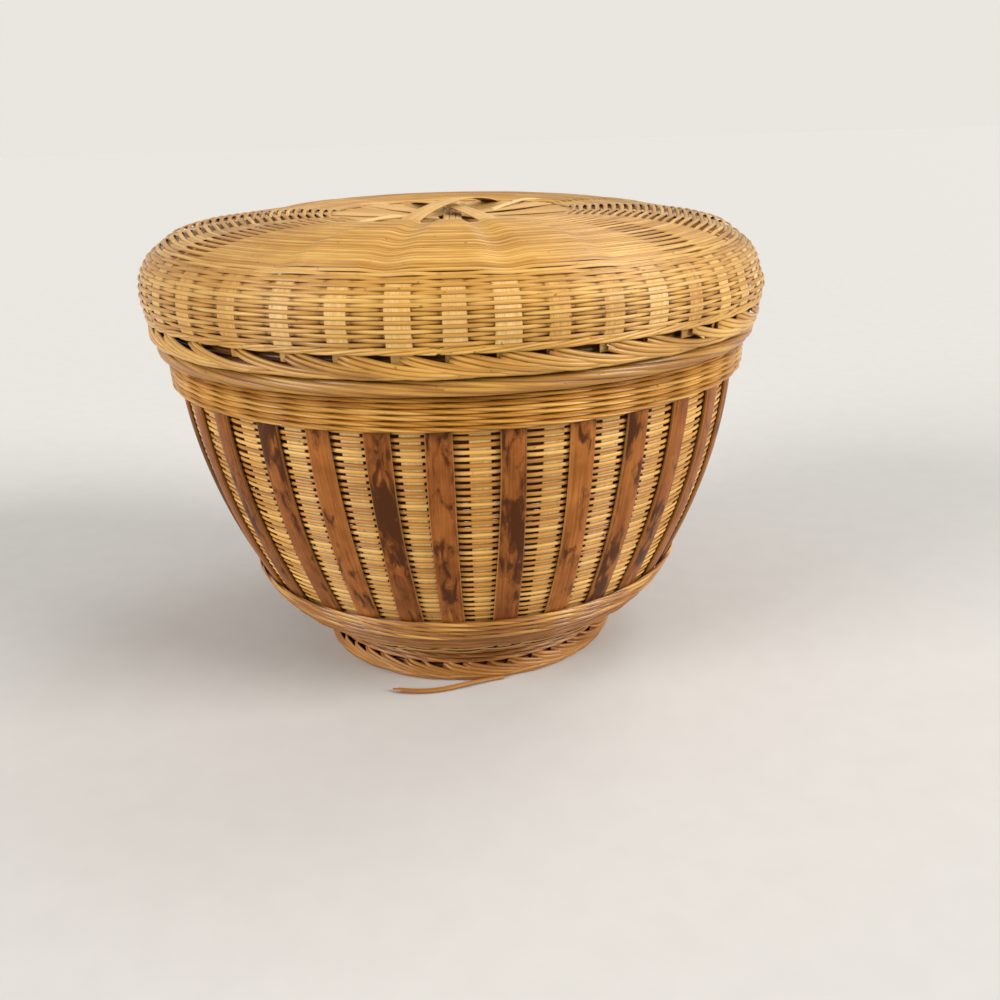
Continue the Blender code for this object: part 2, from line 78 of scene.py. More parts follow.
# Looks of cane: noises by their features a metre and their detail, ramps by (place, level or colour)
CANE_GRAIN_ALONG = 34.0
CANE_FIBRES_ALONG = 150.0
CANE_FIBRES_TO_GRAIN = 6.0
CANE_STREAKS = 0.75
CANE_TONE_PLACES = (0.12, 0.5, 0.88)
BLOTCHES = (26.0, 2.0)
BLOTCH_STOPS = ((0.42, 0.0), (0.72, 1.0))
BLOTCH_SHARE = 0.35
CANE_LINE_STOPS = ((0.3, 0.72), (0.6, 1.0))
CANE_LINE_SHARE = 0.75
# Painted shade: a low crest share darkens strands, with a reddish tint, in creases, recesses and under other
# strands
CREST_PLACES = (0.0, 0.35, 0.7)
CREASE_TINT = (1.0, 0.72, 0.5)
HALF_CREASE_TINT = (1.0, 0.92, 0.84)
HALF_CREASE_SHARE = 0.35
# Painted shade along the low edges of each strand's section, between neighbouring strands
BANK_STOPS = ((0.15, (0.36, 0.24, 0.15)), (0.5, (0.84, 0.80, 0.72)), (0.85, (1.0, 1.0, 1.0)))
SPECKS = (420.0, 1.0)
SPECK_STOPS = ((0.735, 0.0), (0.77, 1.0))
SPECK_SHARE = 0.55
SPECK_COLOUR = (0.10, 0.035, 0.008)
CANE_GLOSS_RANGE = (-0.08, 0.12)
CANE_BUMP = 0.35
CANE_COAT_ROUGHNESS = 0.22
CANE_SPECULAR = 0.3
FIBRE_RELIEF = 0.0002
FIBRE_DETAIL = 2.0
TONE_NOISE_SHIFT = 91.0

# Looks of bamboo: noises by their features a metre along and round the slat, their detail and their warp
BAMBOO_GRAIN = (22.0, 16.0)
BAMBOO_FIBRES = (60.0, 70.0, FIBRE_DETAIL)
BAMBOO_STREAKS = 0.8
BAMBOO_TONE_STOPS = (
    (0.1, (0.13, 0.036, 0.007)),
    (0.5, (0.29, 0.093, 0.018)),
    (0.9, (0.46, 0.170, 0.038)),
)
BAMBOO_LINE_STOPS = ((0.3, 0.70), (0.62, 1.0))
BAMBOO_LINE_SHARE = 0.8
CLOUDS = (75.0, 3.0)
CLOUD_STOPS = ((0.35, (0.70, 0.62, 0.55)), (0.65, (1.1, 1.1, 1.1)))
CLOUD_SHARE = 0.8
BROAD_SCORCH = (26.0, 1.2, 1.0)
FINE_SCORCH = (95.0, 6.0, 4.0, 0.6)
BROAD_SCORCH_SHARE = 0.45
FINE_SCORCH_SHARE = 0.55
SCORCH_PULL = 0.17
SCORCH_STOPS = ((0.545, 0.0), (0.570, 0.50), (0.585, 0.20), (0.605, 0.75), (0.650, 1.0))
SCORCH_COLOUR = (0.064, 0.018, 0.003)
CUT_EDGE_STOPS = ((0.10, 1.0), (0.235, 0.0), (0.66, 0.0), (0.80, 0.75))
CUT_EDGE_SHARE = 0.55
CUT_EDGE_COLOUR = (0.50, 0.25, 0.085)
BAMBOO_ROUGHNESS = (0.26, 0.44)
BAMBOO_BUMP = 0.25
BAMBOO_COAT = 0.04
BAMBOO_COAT_ROUGHNESS = 0.2
BAMBOO_SPECULAR = 0.10

# Range of tone of the strands in each place; the near-black back_row, behind_stake and lid_arm ranges paint
# shade
TONES = {
    "row": (0.22, 0.82),
    "back_row": (0.0, 0.12),
    "gap_stake": (0.54, 0.70),
    "behind_stake": (0.0, 0.15),
    "slat": (0.4, 0.65),
    "lower_band": (0.2, 0.6),
    "upper_band": (0.3, 0.75),
    "foot_wall": (0.3, 0.75),
    "rim_roll": (0.2, 0.45),
    "base_hoop": (0.15, 0.4),
    "lid_braid": (0.3, 0.62),
    "foot_braid": (0.4, 0.7),
    "weave_edge": (0.4, 0.7),
    "stake_tail": (0.2, 0.6),
    "cut_end": (0.6, 0.9),
    "lid_weave": (0.36, 0.68),
    "lid_stake": (0.3, 0.75),
    "lid_arm": (0.05, 0.3),
    "hub_strap": (0.45, 0.68),
    "hub_end": (0.7, 0.85),
    "hub_floor": (0.35, 0.6),
}
COLLAR_HOOP_TONE = 0.55
# Tone and crest of the rings that fill the roll and the plaited edges from within, painted in shade, and of
# the strands below
ROLL_CORE_LOOK = (0.3, 0.2)
BRAID_CORE_LOOK = (0.2, 0.1)
BASE_ROW_LOOK = (0.5, 0.5)
BASE_STAKE_LOOK = (0.35, 0.4)
LOOSE_LOOK = (0.55, 0.9)
# Step of phase from one strand to the next, so that neighbours differ
STRAND_STEP = 2.3
SHARP_ANGLE_DEG = 52.0

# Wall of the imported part
WALL_BOTTOM = 0.0317
WALL_HEIGHT = 0.1483
WALL_FOOT_RADIUS = 0.1008
WALL_MOUTH_RADIUS = 0.1402
WALL_BULGE = 0.0118
WALL_THICKNESS = 0.0026
SLAT_COUNT = 31
FIRST_SLAT_AZIMUTH_DEG = -46.6
FRONT_SLAT_SHIFT_SHARES = (0.0, 0.13, 0.06, 0.0, -0.13, -0.07, 0.01, -0.02, -0.06)
SLAT_WANDER_SHARE = 0.05
SLAT_SEAT_GAP = 0.0003

# Rows of the wall, with the waves round it and their step from row to row
ROW_PITCH = 0.00303
FIRST_ROW_HEIGHT = 0.0338
LAST_ROW_HEIGHT = 0.1788
ROW_WIDTH = 0.00198
BACK_ROW_WIDTH = 0.0023
ROW_THICKNESS = 0.00085
ROW_WANDER = 0.00012
ROW_WAVES = ((7.0, 1.9), (17.0, 3.1))
ROW_SAMPLES = 10
ROW_SHARPNESS = 2.6
ROW_OVER_BIAS = 0.5
ROW_OUTSET = 0.0002
BACK_ROW_SHARPNESS = 4.0
BACK_ROW_BIAS = 0.72
# The back rows are painted in shade by this low crest share
BACK_ROW_CREST_SHARE = 0.15

# Light stakes between the slats, and where the first eight stand off the middle of their gap
GAP_STAKE_WIDTH = 0.0092
GAP_STAKE_FOOT_WIDTH = 0.0070
GAP_STAKE_WIDENING_SHARE = 0.5
GAP_STAKE_CREST = 0.8
BEHIND_STAKE_WIDTH = 0.0078
# The stakes behind the slats are painted in shade, with a low crest share and a near-black tone
BEHIND_STAKE_CREST = 0.3
STAKE_THICKNESS = 0.0008
FRONT_STAKE_SHIFTS_DEG = (0.3, -0.2, 0.2, 0.2, 0.75, 1.2, 0.3, 0.2)
STAKE_WANDER_DEG = 0.4
WALL_STAKE_STATIONS = 30

# Slats, which sway and narrow a little on their way up
SLAT_WIDTH = 0.0115
SLAT_THICKNESS = 0.0016
SLAT_LOW = 0.0447
SLAT_HIGH = 0.1568
SLAT_STATIONS = 26
SLAT_SWAY = 0.00036
SLAT_SWAY_RADIUS = 0.13
SLAT_SWAY_WAVES = 31.0
SLAT_SWAY_STEP = 1.7
SLAT_WAIST_SHARE = 0.035
SLAT_WAIST_WAVES = 47.0
# How strongly each slat in front is scorched, how far up, and its tone
FRONT_SCORCH_SHARES = (0.35, 0.85, 0.2, 1.0, 0.5, 0.95, 0.15, 0.5, 0.3)
FRONT_SCORCH_PLACES = (0.1, 0.85, 0.0, 0.5, 0.85, 0.5, 0.3, 0.75, 0.5)
FRONT_SLAT_TONES = (0.4, 0.45, 0.62, 0.42, 0.5, 0.45, 0.68, 0.55, 0.5)
SCORCH_REACH_SHARE = 0.24
SCORCH_SPREAD_SHARE = 0.15
OTHER_SCORCH_SHARES = (0.1, 0.3, 0.5, 0.8, 1.0)

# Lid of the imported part
LID_SHELL_BOTTOM = 0.1836
LID_SHELL_HEIGHT = 0.0419
LID_RADIUS = 0.1553
LID_SIDE_FLARE = 0.0021
LID_EDGE_RADIUS = LID_RADIUS - LID_SIDE_FLARE
HUB_RIM_RADIUS = 0.0610
HUB_RIM_HEIGHT_SHARE = 0.9875
LID_OUTLINE_SHARES = (
    (0.516, 1.000),
    (0.645, 0.976),
    (0.774, 0.919),
    (0.871, 0.838),
    (0.948, 0.704),
    (0.986, 0.552),
    (1.000, 0.374),
    (1.000, 0.145),
)
OUTLINE_STEPS = 500
OUTLINE_SMOOTHING = 0.010

# Weave of the lid
SIDE_PITCH = 0.00192
TOP_PITCH = 0.00205
FIRST_TURN_SHARE = 0.6
WEAVE_OVERHANG = 0.0006
LID_STRAND_THICKNESS = 0.00085
LID_WEAVE_SAMPLES = 12
LID_STRAND_LENGTH_TURNS = 0.83
LID_WEAVE_PIECES = 4
SEAM_AZIMUTH_DEG = 145.0
ROUNDING = 1e-9

# On the side the stakes show between the rows up to a length from the edge; on the shoulder the rows close up
PATCH_LENGTH = 0.0212
PATCH_FADE = 0.0035
PATCH_WIDTH_SHARE = 0.98
SHOULDER_WIDTH_SHARE = 1.1
TOP_WIDTH_SHARE = 1.05
LID_DIP = 0.0006
SHOULDER_DIP = 0.00042
SIDE_SHARPNESS = 1.8
# Crest shares paint shade on the side's rows where they pass under the stakes, and shadow ticks beside the
# stakes
SIDE_CREST = 0.72
SIDE_CREST_SWING = 0.28
SHOULDER_CALM_SHARE = 0.5
STAKE_EDGE_SHARE = 0.25
STAKE_EDGE_FADE_SHARE = 0.04
STAKE_EDGE_SHADE = 0.55
SPLITS_FROM = 0.138
SPLITS_TO = 0.149

# On the crown every second row dives under an arm, and the others rise over it
SIDE_ARMS_DEG = (-72.0, 68.0)
ARM_DEPTH = 0.0017
ARM_HALF_WIDTH = 0.0050
ARM_WIDENING = 0.07
ARM_START_SHARE = 0.8
ARM_STEP = 0.008
ARM_DIP = 0.0016
ARM_RISE = 0.0014
ARM_NEAR_SHARES = (0.25, 0.5)
FRONT_ARM_SHARE = 0.03
FRONT_ARM_POWER = 4
# Crest shares: the rows that dive under an arm, and the arms themselves, are painted in shade so that the
# slits look dark
CROWN_CREST = 0.8
DIVE_CREST = -0.8
RISE_CREST = 0.2
# The rows grow darker towards the back of the crown
DARKER_BACK_SHARES = (0.10, 0.65)
BACK_DARKENING_SHARE = 0.42
ARM_STRIPS = 3
ARM_STRIP_SHARE = 0.97
ARM_CREST = 0.1
ARM_REACH_RADIUS = 0.146

# Panels in front, where the rows rise evenly over three arms
FRONT_ARMS_DEG = (-18.0, 1.0, 20.0)
PANEL_HALF_WIDTH = 0.0068
PANEL_WIDENING = 0.15
PANEL_RISE = 0.0014
PANEL_EDGE_SHARES = (0.65, 1.25)

# Stakes of the lid
LID_STAKE_COUNT = 43
FRONT_LID_STAKES_DEG = (-55.0, -45.0, -34.0, -24.0, -15.0, -6.0, 2.0, 9.5, 17.0, 25.6, 33.6)
LID_STAKE_WANDER_DEG = 0.5
LID_STAKE_STEP = 2.7
LID_STAKE_WIDTH = 0.0097
LID_STAKE_WIDTH_SPREAD = 0.0011
LID_STAKE_STATIONS = 40
LID_STAKE_DEPTH = LID_STRAND_THICKNESS + LID_DIP + 0.35 * STAKE_THICKNESS
LID_STAKE_CREST = 0.8
HIDDEN_STAKE_SHADE = 0.3
STAKE_REACH_RADIUS = 0.130
STAKE_TAIL = 0.0004

# The crown of the lid leans back and to the left, and its right side is drawn in, as in the part
CROWN_BACK_SLOPE = 0.019
CROWN_RIGHT_SLOPE = -0.013
CROWN_BACK_RISE = 0.0022
SIDE_DRAW_IN = 0.0028
LEAN_HEIGHT_SHARES = (0.06, 0.82)
DRAW_IN_HEIGHT_SHARES = (0.145, 0.374)
BACK_RISE_SHARES = (0.40, 0.68)
DRAW_IN_SHARES = (0.515, 1.0)

# Arms of the hub, lowest strap first, and the stakes' inner ends under them
HUB_STRAP_AZIMUTHS_DEG = (90.0, 45.0, 128.0, 2.0, 20.0, 162.0)
HUB_STRAP_RISES = (0.0003, 0.0007, 0.0011, 0.0019, 0.0050, 0.0078)
HUB_FAN_SPREADS = (0.9, 0.6, 0.7, 0.0, 0.15, 0.15)
HUB_FLOOR = 0.2216
HUB_RIM_SINK = 0.0009
HUB_DISH_POWER = 2.2
HUB_CORE_RADIUS = 0.004
HUB_REACH = 0.0640
HUB_STATIONS = 41
HUB_STRIP_WIDTH = 0.0030
HUB_STRIP_SHARE = 0.98
HUB_STRIP_THICKNESS = 0.0007
HUB_STRIP_COUNT = 3
HUB_CREST = 0.8
HUB_FLOOR_STRIPS = 54
HUB_FLOOR_STATIONS = 20
HUB_FLOOR_STAGGER_SHARE = 0.4
HUB_FLOOR_OVERLAP_SHARE = 1.12
HUB_FLOOR_CREST = 0.6
# Routes of two loose strips, before the lid's lean
HUB_END_ROUTES = (
    (
        (-0.0423, -0.0547, 0.2240),
        (-0.0326, -0.0389, 0.2243),
        (-0.0200, -0.0320, 0.2243),
        (-0.0060, -0.0240, 0.2232),
    ),
    ((0.0200, 0.0150, 0.2232), (0.0279, 0.0270, 0.2240), (0.0385, 0.0560, 0.2244), (0.0490, 0.0536, 0.2240)),
)
HUB_END_STATIONS = 24
HUB_END_SMOOTHINGS = 9
HUB_END_BOW = 0.0008
HUB_END_FACING = (0.0, -0.35, 1.0)
HUB_END_CREST = 0.9

# Twined bands: slot, rows, share of a row that a strand fills, depth, and step of phase from row to row
Band = namedtuple("Band", "slot rows strand_share depth step")
BANDS = {
    "lower_band": Band("varnished_cane", 4, 0.66, 0.0022, 2.1),
    "upper_band": Band("varnished_cane", 6, 0.68, 0.0036, 2.1),
    "foot_wall": Band("orange_cane", 4, 0.7, 0.0030, 1.0),
}
BAND_TURNS = 14
BAND_STRANDS = 3
BAND_SAMPLES = 16
BAND_THICKNESS_SHARE = 0.5
BAND_LEAN = 0.15
BAND_FALL_SHARE = 0.6
# Crest shares: each strand is painted in shade where it turns in behind the others
BAND_CREST = (0.55, 0.45)
STAIN_AZIMUTH_DEG = 4.0
STAIN_REACH_DEG = 13.0
STAIN_SHARE = 0.45

# Rim roll, with the waves of its strands and the size of the two rings that fill it
ROLL_STRANDS = 7
ROLL_TURNS = 4
ROLL_SAMPLES = 72
ROLL_STRAND_WIDTH = 0.0031
ROLL_STRAND_THICKNESS = 0.0014
ROLL_WOBBLE = 0.12
ROLL_WAVES = 7.0
# Crest shares paint shade on each strand where it turns in towards the core
ROLL_CREST = (0.75, 0.25)
ROLL_CORE_SHARE = 1.4
ROLL_INNER_CORE_SHARE = 0.9

# Hoops of flat strips
BASE_HOOP_STRIPS = 3
HOOP_SAMPLES = 360
HOOP_GAP = 0.0003
HOOP_WANDER_SHARE = 0.06
HOOP_WAVES = 5.0
HOOP_STEP = 2.0
HOOP_RIPPLE = 0.0003
HOOP_RIPPLES = 31.0
HOOP_FALL_SHARE = 0.5
HOOP_OVERLAP_SHARE = 1.08
HOOP_THICKNESS = 0.0015
HOOP_CREST = 0.7

# Plaited edges: inner radius, height at which the groups come out, strips in a group and their size, groups
# passed on the way down, how fast they fall, how much they close up, where they start, strands on the edge
BRAID_FIELDS = "inner_radius top strips strip_width thickness reach drop squeeze start_share edge_strands"
Braid = namedtuple("Braid", BRAID_FIELDS)
LID_BRAID = Braid(0.1444, 0.1835, 3, 0.0022, 0.0013, 2.3, 2.4, 0.4, 0.84, 1)
FOOT_BRAID = Braid(0.0738, 0.0095, 3, 0.0021, 0.0010, 3.6, 1.9, 0.45, 0.5, 2)
FOOT_BRAID_GROUPS = 42
BRAID_STATIONS = 26
BRAID_UNEVEN_SHARE = 0.16
BRAID_LEAN = 0.14
BRAID_LEAN_DROP = 3.0
BRAID_THIN_SHARE = 0.5
BRAID_TONE_SPREAD = 0.07
BRAID_LIFT_SHARES = (0.12, 0.6)
# Crest shares paint shade at both ends of a strip, where it comes out and where it slips under the edge
BRAID_CREST_SHARES = (0.1, 0.7)
BRAID_CREASE = 0.25
BRAID_FACING = (0.25, 0.5)
BRAID_NEST_SHARE = 0.3
BRAID_END_SHARE = 0.9
# Strands on the edge of a plait: width, lean, waves, how high and how far out each lies, in widths and shares
EDGE_WIDTH = 0.0019
EDGE_SAMPLES = 8
EDGE_LEAN = -0.2
EDGE_WAVE_SHARE = 0.25
EDGE_WAVE_GROUPS = 3.0
EDGE_STEP = 2.0
EDGE_LEVELS = (0.55, 0.8)
EDGE_RADIUS_SHARES = (0.86, 0.12)
EDGE_CREST = 0.75
# Rings that fill a plait: how high each lies and how thick it is
CORE_RINGS = ((0.28, 0.36), (0.62, 0.26), (0.86, 0.2))
CORE_HEIGHT_SHARE = 0.36
CORE_RADIUS_SHARE = 0.1

# Strands twined round the lower edge of the lid's weave
EDGE_PAIR_STRANDS = 3
EDGE_PAIR_RISE = 0.0010
EDGE_PAIR_SWING = 0.0008
EDGE_PAIR_WIDTH = 0.0017
EDGE_PAIR_THICKNESS = 0.6 * EDGE_PAIR_WIDTH
EDGE_PAIR_SINK = 0.35 * EDGE_PAIR_WIDTH
EDGE_PAIR_LEAN = -0.15
EDGE_PAIR_CREST = 0.85

# Tails of the stakes, and their cut ends that show between the groups of the lid's edge
TAIL_DEPTH = 0.0036
TAIL_DROP = 0.0046
TAIL_LEAN = 0.0004
TAIL_WIDTH = 0.9 * LID_STAKE_WIDTH
CUT_END_SHARE = 0.75
CUT_END_STATIONS = 5
CUT_END_WIDTH = 0.0030
CUT_END_WIDTH_SHARES = (0.75, 1.1)
CUT_END_THICKNESS = 0.0006
CUT_END_TURN_DEG = 2.8
CUT_END_TURN_SHARES = (-0.2, 0.4)
CUT_END_DROP = 0.0044
CUT_END_SINK = 0.2 * CUT_END_DROP
CUT_END_DEPTH = 0.0026
CUT_END_OUTWARD = 0.0010
CUT_END_FACING = 0.35
CUT_END_CREST = 0.8

# Base: rows wound over radial stakes, and where its edge turns up
BASE_ROW_PITCH = 0.0029
BASE_ROW_WIDTH = 0.95 * BASE_ROW_PITCH
BASE_ROW_THICKNESS = 0.0008
BASE_ROW_WAVE = 0.00075
BASE_ROW_FACING = (0.55, 0.3)
BASE_SAMPLES = 6
BASE_RISE = 0.0009
BASE_CENTRE_RADIUS = 0.009
BASE_TURN_SHARES = (0.62, 0.34)
BASE_EDGE_GAP = 0.0012
BASE_STAKES = 31
BASE_STAKE_START = -0.004
BASE_STAKE_STATIONS = 20
BASE_STAKE_SHARE = 0.55
BASE_STAKE_WIDTHS = (0.0006, 0.0070)
BASE_STAKE_THICKNESS = 0.0007
BASE_STAKE_FACING = 0.2

# Loose reed end, which waves over the ground, swells and ends in a blunt tip
LOOSE_START_DEG = 13.5
LOOSE_TIP_DEG = -22.8
LOOSE_START_RADIUS = 0.0800
LOOSE_TIP_RADIUS = 0.0947
LOOSE_WIDTH = 0.0030
LOOSE_THICKNESS = 0.0022
LOOSE_STATIONS = 40
LOOSE_LIFT = 0.0003
LOOSE_WAVE = 0.0004
LOOSE_WAVES = 5.0
LOOSE_SWELL_SHARE = 0.2
LOOSE_SWELL_TO = 0.5
LOOSE_TIP_SHARE = 0.35
LOOSE_TIP_FROM = 0.93

# Sections across a strand: shares of its width, and of its thickness above its seat
LENS_SECTION = ((-0.5, 0.2), (-0.34, 0.76), (0.0, 1.0), (0.34, 0.76), (0.5, 0.2), (0.0, 0.0))
STRIP_SECTION = ((-0.5, 0.05), (-0.47, 0.82), (-0.3, 1.0), (0.3, 1.0), (0.47, 0.82), (0.5, 0.05))
ROUND_SECTION = tuple(
    (0.5 * math.cos(TURN * step / 8), 0.5 + 0.5 * math.sin(TURN * step / 8)) for step in range(8)
)
SLAT_SECTION = (
    (-0.5, 0.0),
    (-0.5, 0.55),
    (-0.46, 0.72),
    (-0.25, 0.93),
    (0.0, 1.0),
    (0.25, 0.93),
    (0.46, 0.72),
    (0.5, 0.55),
    (0.5, 0.0),
)

rng = np.random.default_rng(SEED)


class Strands:
    """Strands gathered for one piece, with a tone and a crest share at every point."""

    def __init__(self):
        self.points = []
        self.faces = []
        self.corner_uvs = []
        self.tones = []
        self.crests = []
        self.banks = []
        self.count = 0

    def lay(self, path, outward, width, thickness, section, tone, crest=0.5, closed=False):
        """Lay one strand whose inner face follows the path, with its rounded side turned outward."""
        stations = len(path)
        corners = len(section)
        ahead = np.roll(path, -1, axis=0) - np.roll(path, 1, axis=0)
        if not closed:
            ahead[0] = path[1] - path[0]
            ahead[-1] = path[-1] - path[-2]
        along = unit(ahead)
        across = unit(np.cross(along, outward))
        facing = unit(np.cross(across, along))
        width = np.broadcast_to(width, stations)[:, None, None]
        thickness = np.broadcast_to(thickness, stations)[:, None, None]
        side = np.array([share for share, _depth in section])[None, :, None]
        depth = np.array([share for _side, share in section])[None, :, None]
        points = path[:, None, :] + across[:, None, :] * width * side + facing[:, None, :] * thickness * depth
        steps = np.linalg.norm(np.roll(path, -1, axis=0) - path, axis=1)
        lengths = np.concatenate(([0], np.cumsum(steps)))
        spans = stations if closed else stations - 1
        near = np.arange(spans)[:, None]
        far = (near + 1) % stations
        here = np.arange(corners)[None, :]
        beside = (here + 1) % corners
        quads = np.stack(
            (
                near * corners + here,
                near * corners + beside,
                far * corners + beside,
                far * corners + here,
            ),
            axis=-1,
        ).reshape(-1, 4)
        low_u = np.repeat(lengths[:spans], corners)
        high_u = np.repeat(lengths[1 : spans + 1], corners)
        low_v = np.tile(np.arange(corners) / corners, spans)
        high_v = low_v + 1.0 / corners
        uvs = np.stack((low_u, low_v, low_u, high_v, high_u, high_v, high_u, low_v), axis=-1).reshape(-1, 2)
        self.points.append(points.reshape(-1, 3))
        self.faces += (quads + self.count).tolist()
        self.corner_uvs.append(uvs)
        if not closed:
            first = list(range(self.count + corners - 1, self.count - 1, -1))
            start = self.count + (stations - 1) * corners
            last = list(range(start, start + corners))
            self.faces += [first, last]
            self.corner_uvs.append(np.tile((lengths[0], 0.5), (corners, 1)))
            self.corner_uvs.append(np.tile((lengths[spans], 0.5), (corners, 1)))
        self.tones.append(np.repeat(np.broadcast_to(tone, stations), corners))
        self.crests.append(np.repeat(np.broadcast_to(crest, stations), corners))
        self.banks.append(np.tile([share for _side, share in section], stations))
        self.count += stations * corners

    def make(self, name, material, body, slot, *nodes, bend=None):
        """Turn the strands into a named piece that rides on a body and stands for the nodes."""
        points = np.concatenate(self.points)
        if bend is not None:
            points = bend(points)
        mesh = bpy.data.meshes.new(name)
        mesh.from_pydata(points.tolist(), [], self.faces)
        layer = mesh.uv_layers.new(name="strand")
        layer.data.foreach_set("uv", np.concatenate(self.corner_uvs).astype(np.float32).ravel())
        for label, values in (("tone", self.tones), ("crest", self.crests), ("bank", self.banks)):
            attribute = mesh.attributes.new(label, "FLOAT", "POINT")
            attribute.data.foreach_set("value", np.concatenate(values).astype(np.float32))
        mesh.shade_smooth()
        mesh.set_sharp_from_angle(angle=math.radians(SHARP_ANGLE_DEG))
        mesh.materials.append(material)
        piece = bpy.data.objects.new(name, mesh)
        bpy.context.scene.collection.objects.link(piece)
        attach(piece, body)
        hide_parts(*nodes)
        return piece


def unit(vectors):
    """Vectors scaled to a length of one."""
    return vectors / np.linalg.norm(vectors, axis=-1, keepdims=True)


def place(azimuth, radius, height):
    """Points at azimuths in radians, radii and heights."""
    azimuth, radius, height = np.broadcast_arrays(azimuth, radius, height)
    return np.stack((radius * np.sin(azimuth), -radius * np.cos(azimuth), height), axis=-1)


def facing_out(azimuth, out_share, up_share):
    """Unit vectors that point outward and upward by the given shares."""
    return unit(place(azimuth, out_share, up_share))


def smooth_step(value, low, high):
    """Share from 0 at low to 1 at high, eased at both ends."""
    share = np.clip((value - low) / (high - low), 0.0, 1.0)
    return share * share * (3.0 - 2.0 * share)


def circle(count):
    """Even azimuths round the circle."""
    return np.arange(count) / count * TURN


def tone_of(name):
    """Tone of one strand, drawn from the range of its place."""
    return float(rng.uniform(*TONES[name]))


def lengths_along(points):
    """Length along a line of points at each of them."""
    return np.concatenate(([0], np.cumsum(np.linalg.norm(np.diff(points, axis=0), axis=1))))


def wall_radius(height):
    """Outer radius of the woven wall at a height."""
    share = (height - WALL_BOTTOM) / WALL_HEIGHT
    flare = (WALL_MOUTH_RADIUS - WALL_FOOT_RADIUS) * share
    bulge = WALL_BULGE * (1.0 - (2.0 * share - 1.0) ** 2)
    return WALL_FOOT_RADIUS + flare + bulge


def wall_fall(height):
    """How much the wall's radius grows for each metre of height."""
    share = (height - WALL_BOTTOM) / WALL_HEIGHT
    return (WALL_MOUTH_RADIUS - WALL_FOOT_RADIUS + WALL_BULGE * 4.0 * (1.0 - 2.0 * share)) / WALL_HEIGHT


def slat_azimuths():
    """Azimuth of each slat in radians, as in the part."""
    shifts = [SLAT_WANDER_SHARE * math.sin(index * index) for index in range(SLAT_COUNT)]
    shifts[: len(FRONT_SLAT_SHIFT_SHARES)] = FRONT_SLAT_SHIFT_SHARES
    pitch = TURN / SLAT_COUNT
    return np.radians(FIRST_SLAT_AZIMUTH_DEG) + pitch * (np.arange(SLAT_COUNT) + np.array(shifts))


def gap_stake_azimuths():
    """Azimuth of the light stake in the gap that follows each slat."""
    slats = slat_azimuths()
    following = np.append(slats[1:], slats[0] + TURN)
    shifts = STAKE_WANDER_DEG * np.sin(np.arange(SLAT_COUNT) * STRAND_STEP)
    shifts[: len(FRONT_STAKE_SHIFTS_DEG)] = FRONT_STAKE_SHIFTS_DEG
    return (slats + following) / 2.0 + np.radians(shifts)


def wall_samples():
    """Azimuths round the wall, and the phase of each: 0 on a slat, a half turn on the stake in the gap."""
    slats = slat_azimuths()
    marks = np.empty(2 * SLAT_COUNT + 1)
    marks[0:-1:2] = slats
    marks[1::2] = gap_stake_azimuths()
    marks[-1] = slats[0] + TURN
    phases = np.arange(ROW_SAMPLES * SLAT_COUNT) / ROW_SAMPLES
    azimuths = np.interp(phases * 2.0, np.arange(len(marks)), marks)
    return azimuths, phases * TURN


# Materials


def add_node(tree, kind, inputs=None, **settings):
    """Add a node, set it up and link or fill its inputs."""
    made = tree.nodes.new(kind)
    for name, value in settings.items():
        setattr(made, name, value)
    for name, value in (inputs or {}).items():
        if isinstance(value, bpy.types.NodeSocket):
            tree.links.new(value, made.inputs[name])
        else:
            made.inputs[name].default_value = value
    return made


def maths(tree, operation, first, second=0.0):
    """Result of one sum on two values."""
    return add_node(tree, "ShaderNodeMath", {0: first, 1: second}, operation=operation).outputs[0]


def mix_colours(tree, share, first, second, blend="MIX"):
    """Colour between two others."""
    inputs = {0: share, 6: first, 7: second}
    return add_node(tree, "ShaderNodeMix", inputs, data_type="RGBA", blend_type=blend).outputs[2]


def ramp(tree, value, *stops):
    """Colour that follows a value through stops of (place, colour)."""
    made = add_node(tree, "ShaderNodeValToRGB", {"Fac": value})
    elements = made.color_ramp.elements
    while len(elements) < len(stops):
        elements.new(0.5)
    for element, (position, colour) in zip(elements, stops):
        element.position = position
        element.color = (*colour, 1.0)
    return made.outputs["Color"]


def levels(tree, value, *stops):
    """Neutral colour that follows a value through stops of (place, level)."""
    return ramp(tree, value, *((spot, (level, level, level)) for spot, level in stops))


def attribute(tree, name):
    """Value that the strands carry at every point."""
    return add_node(tree, "ShaderNodeAttribute", attribute_name=name).outputs["Fac"]


def strand_place(tree):
    """Length along each strand, and share round its section."""
    spot = add_node(tree, "ShaderNodeUVMap", uv_map="strand").outputs[0]
    parts = add_node(tree, "ShaderNodeSeparateXYZ", {0: spot})
    return parts.outputs[0], parts.outputs[1]


def strand_noise(tree, along, across, detail=3.0, warp=0.0):
    """Noise drawn out along each strand and different on every one."""
    length, share = strand_place(tree)
    parts = {
        0: maths(tree, "MULTIPLY", length, along),
        1: maths(tree, "MULTIPLY", share, across),
        2: maths(tree, "MULTIPLY_ADD", attribute(tree, "tone"), TONE_NOISE_SHIFT),
    }
    vector = add_node(tree, "ShaderNodeCombineXYZ", parts).outputs[0]
    inputs = {"Vector": vector, "Scale": 1.0, "Detail": detail, "Distortion": warp}
    return add_node(tree, "ShaderNodeTexNoise", inputs).outputs["Fac"]


def place_noise(tree, scale, detail):
    """Noise fixed to the object, with this many features a metre."""
    spot = add_node(tree, "ShaderNodeTexCoord").outputs["Object"]
    inputs = {"Vector": spot, "Scale": scale, "Detail": detail}
    return add_node(tree, "ShaderNodeTexNoise", inputs).outputs["Fac"]


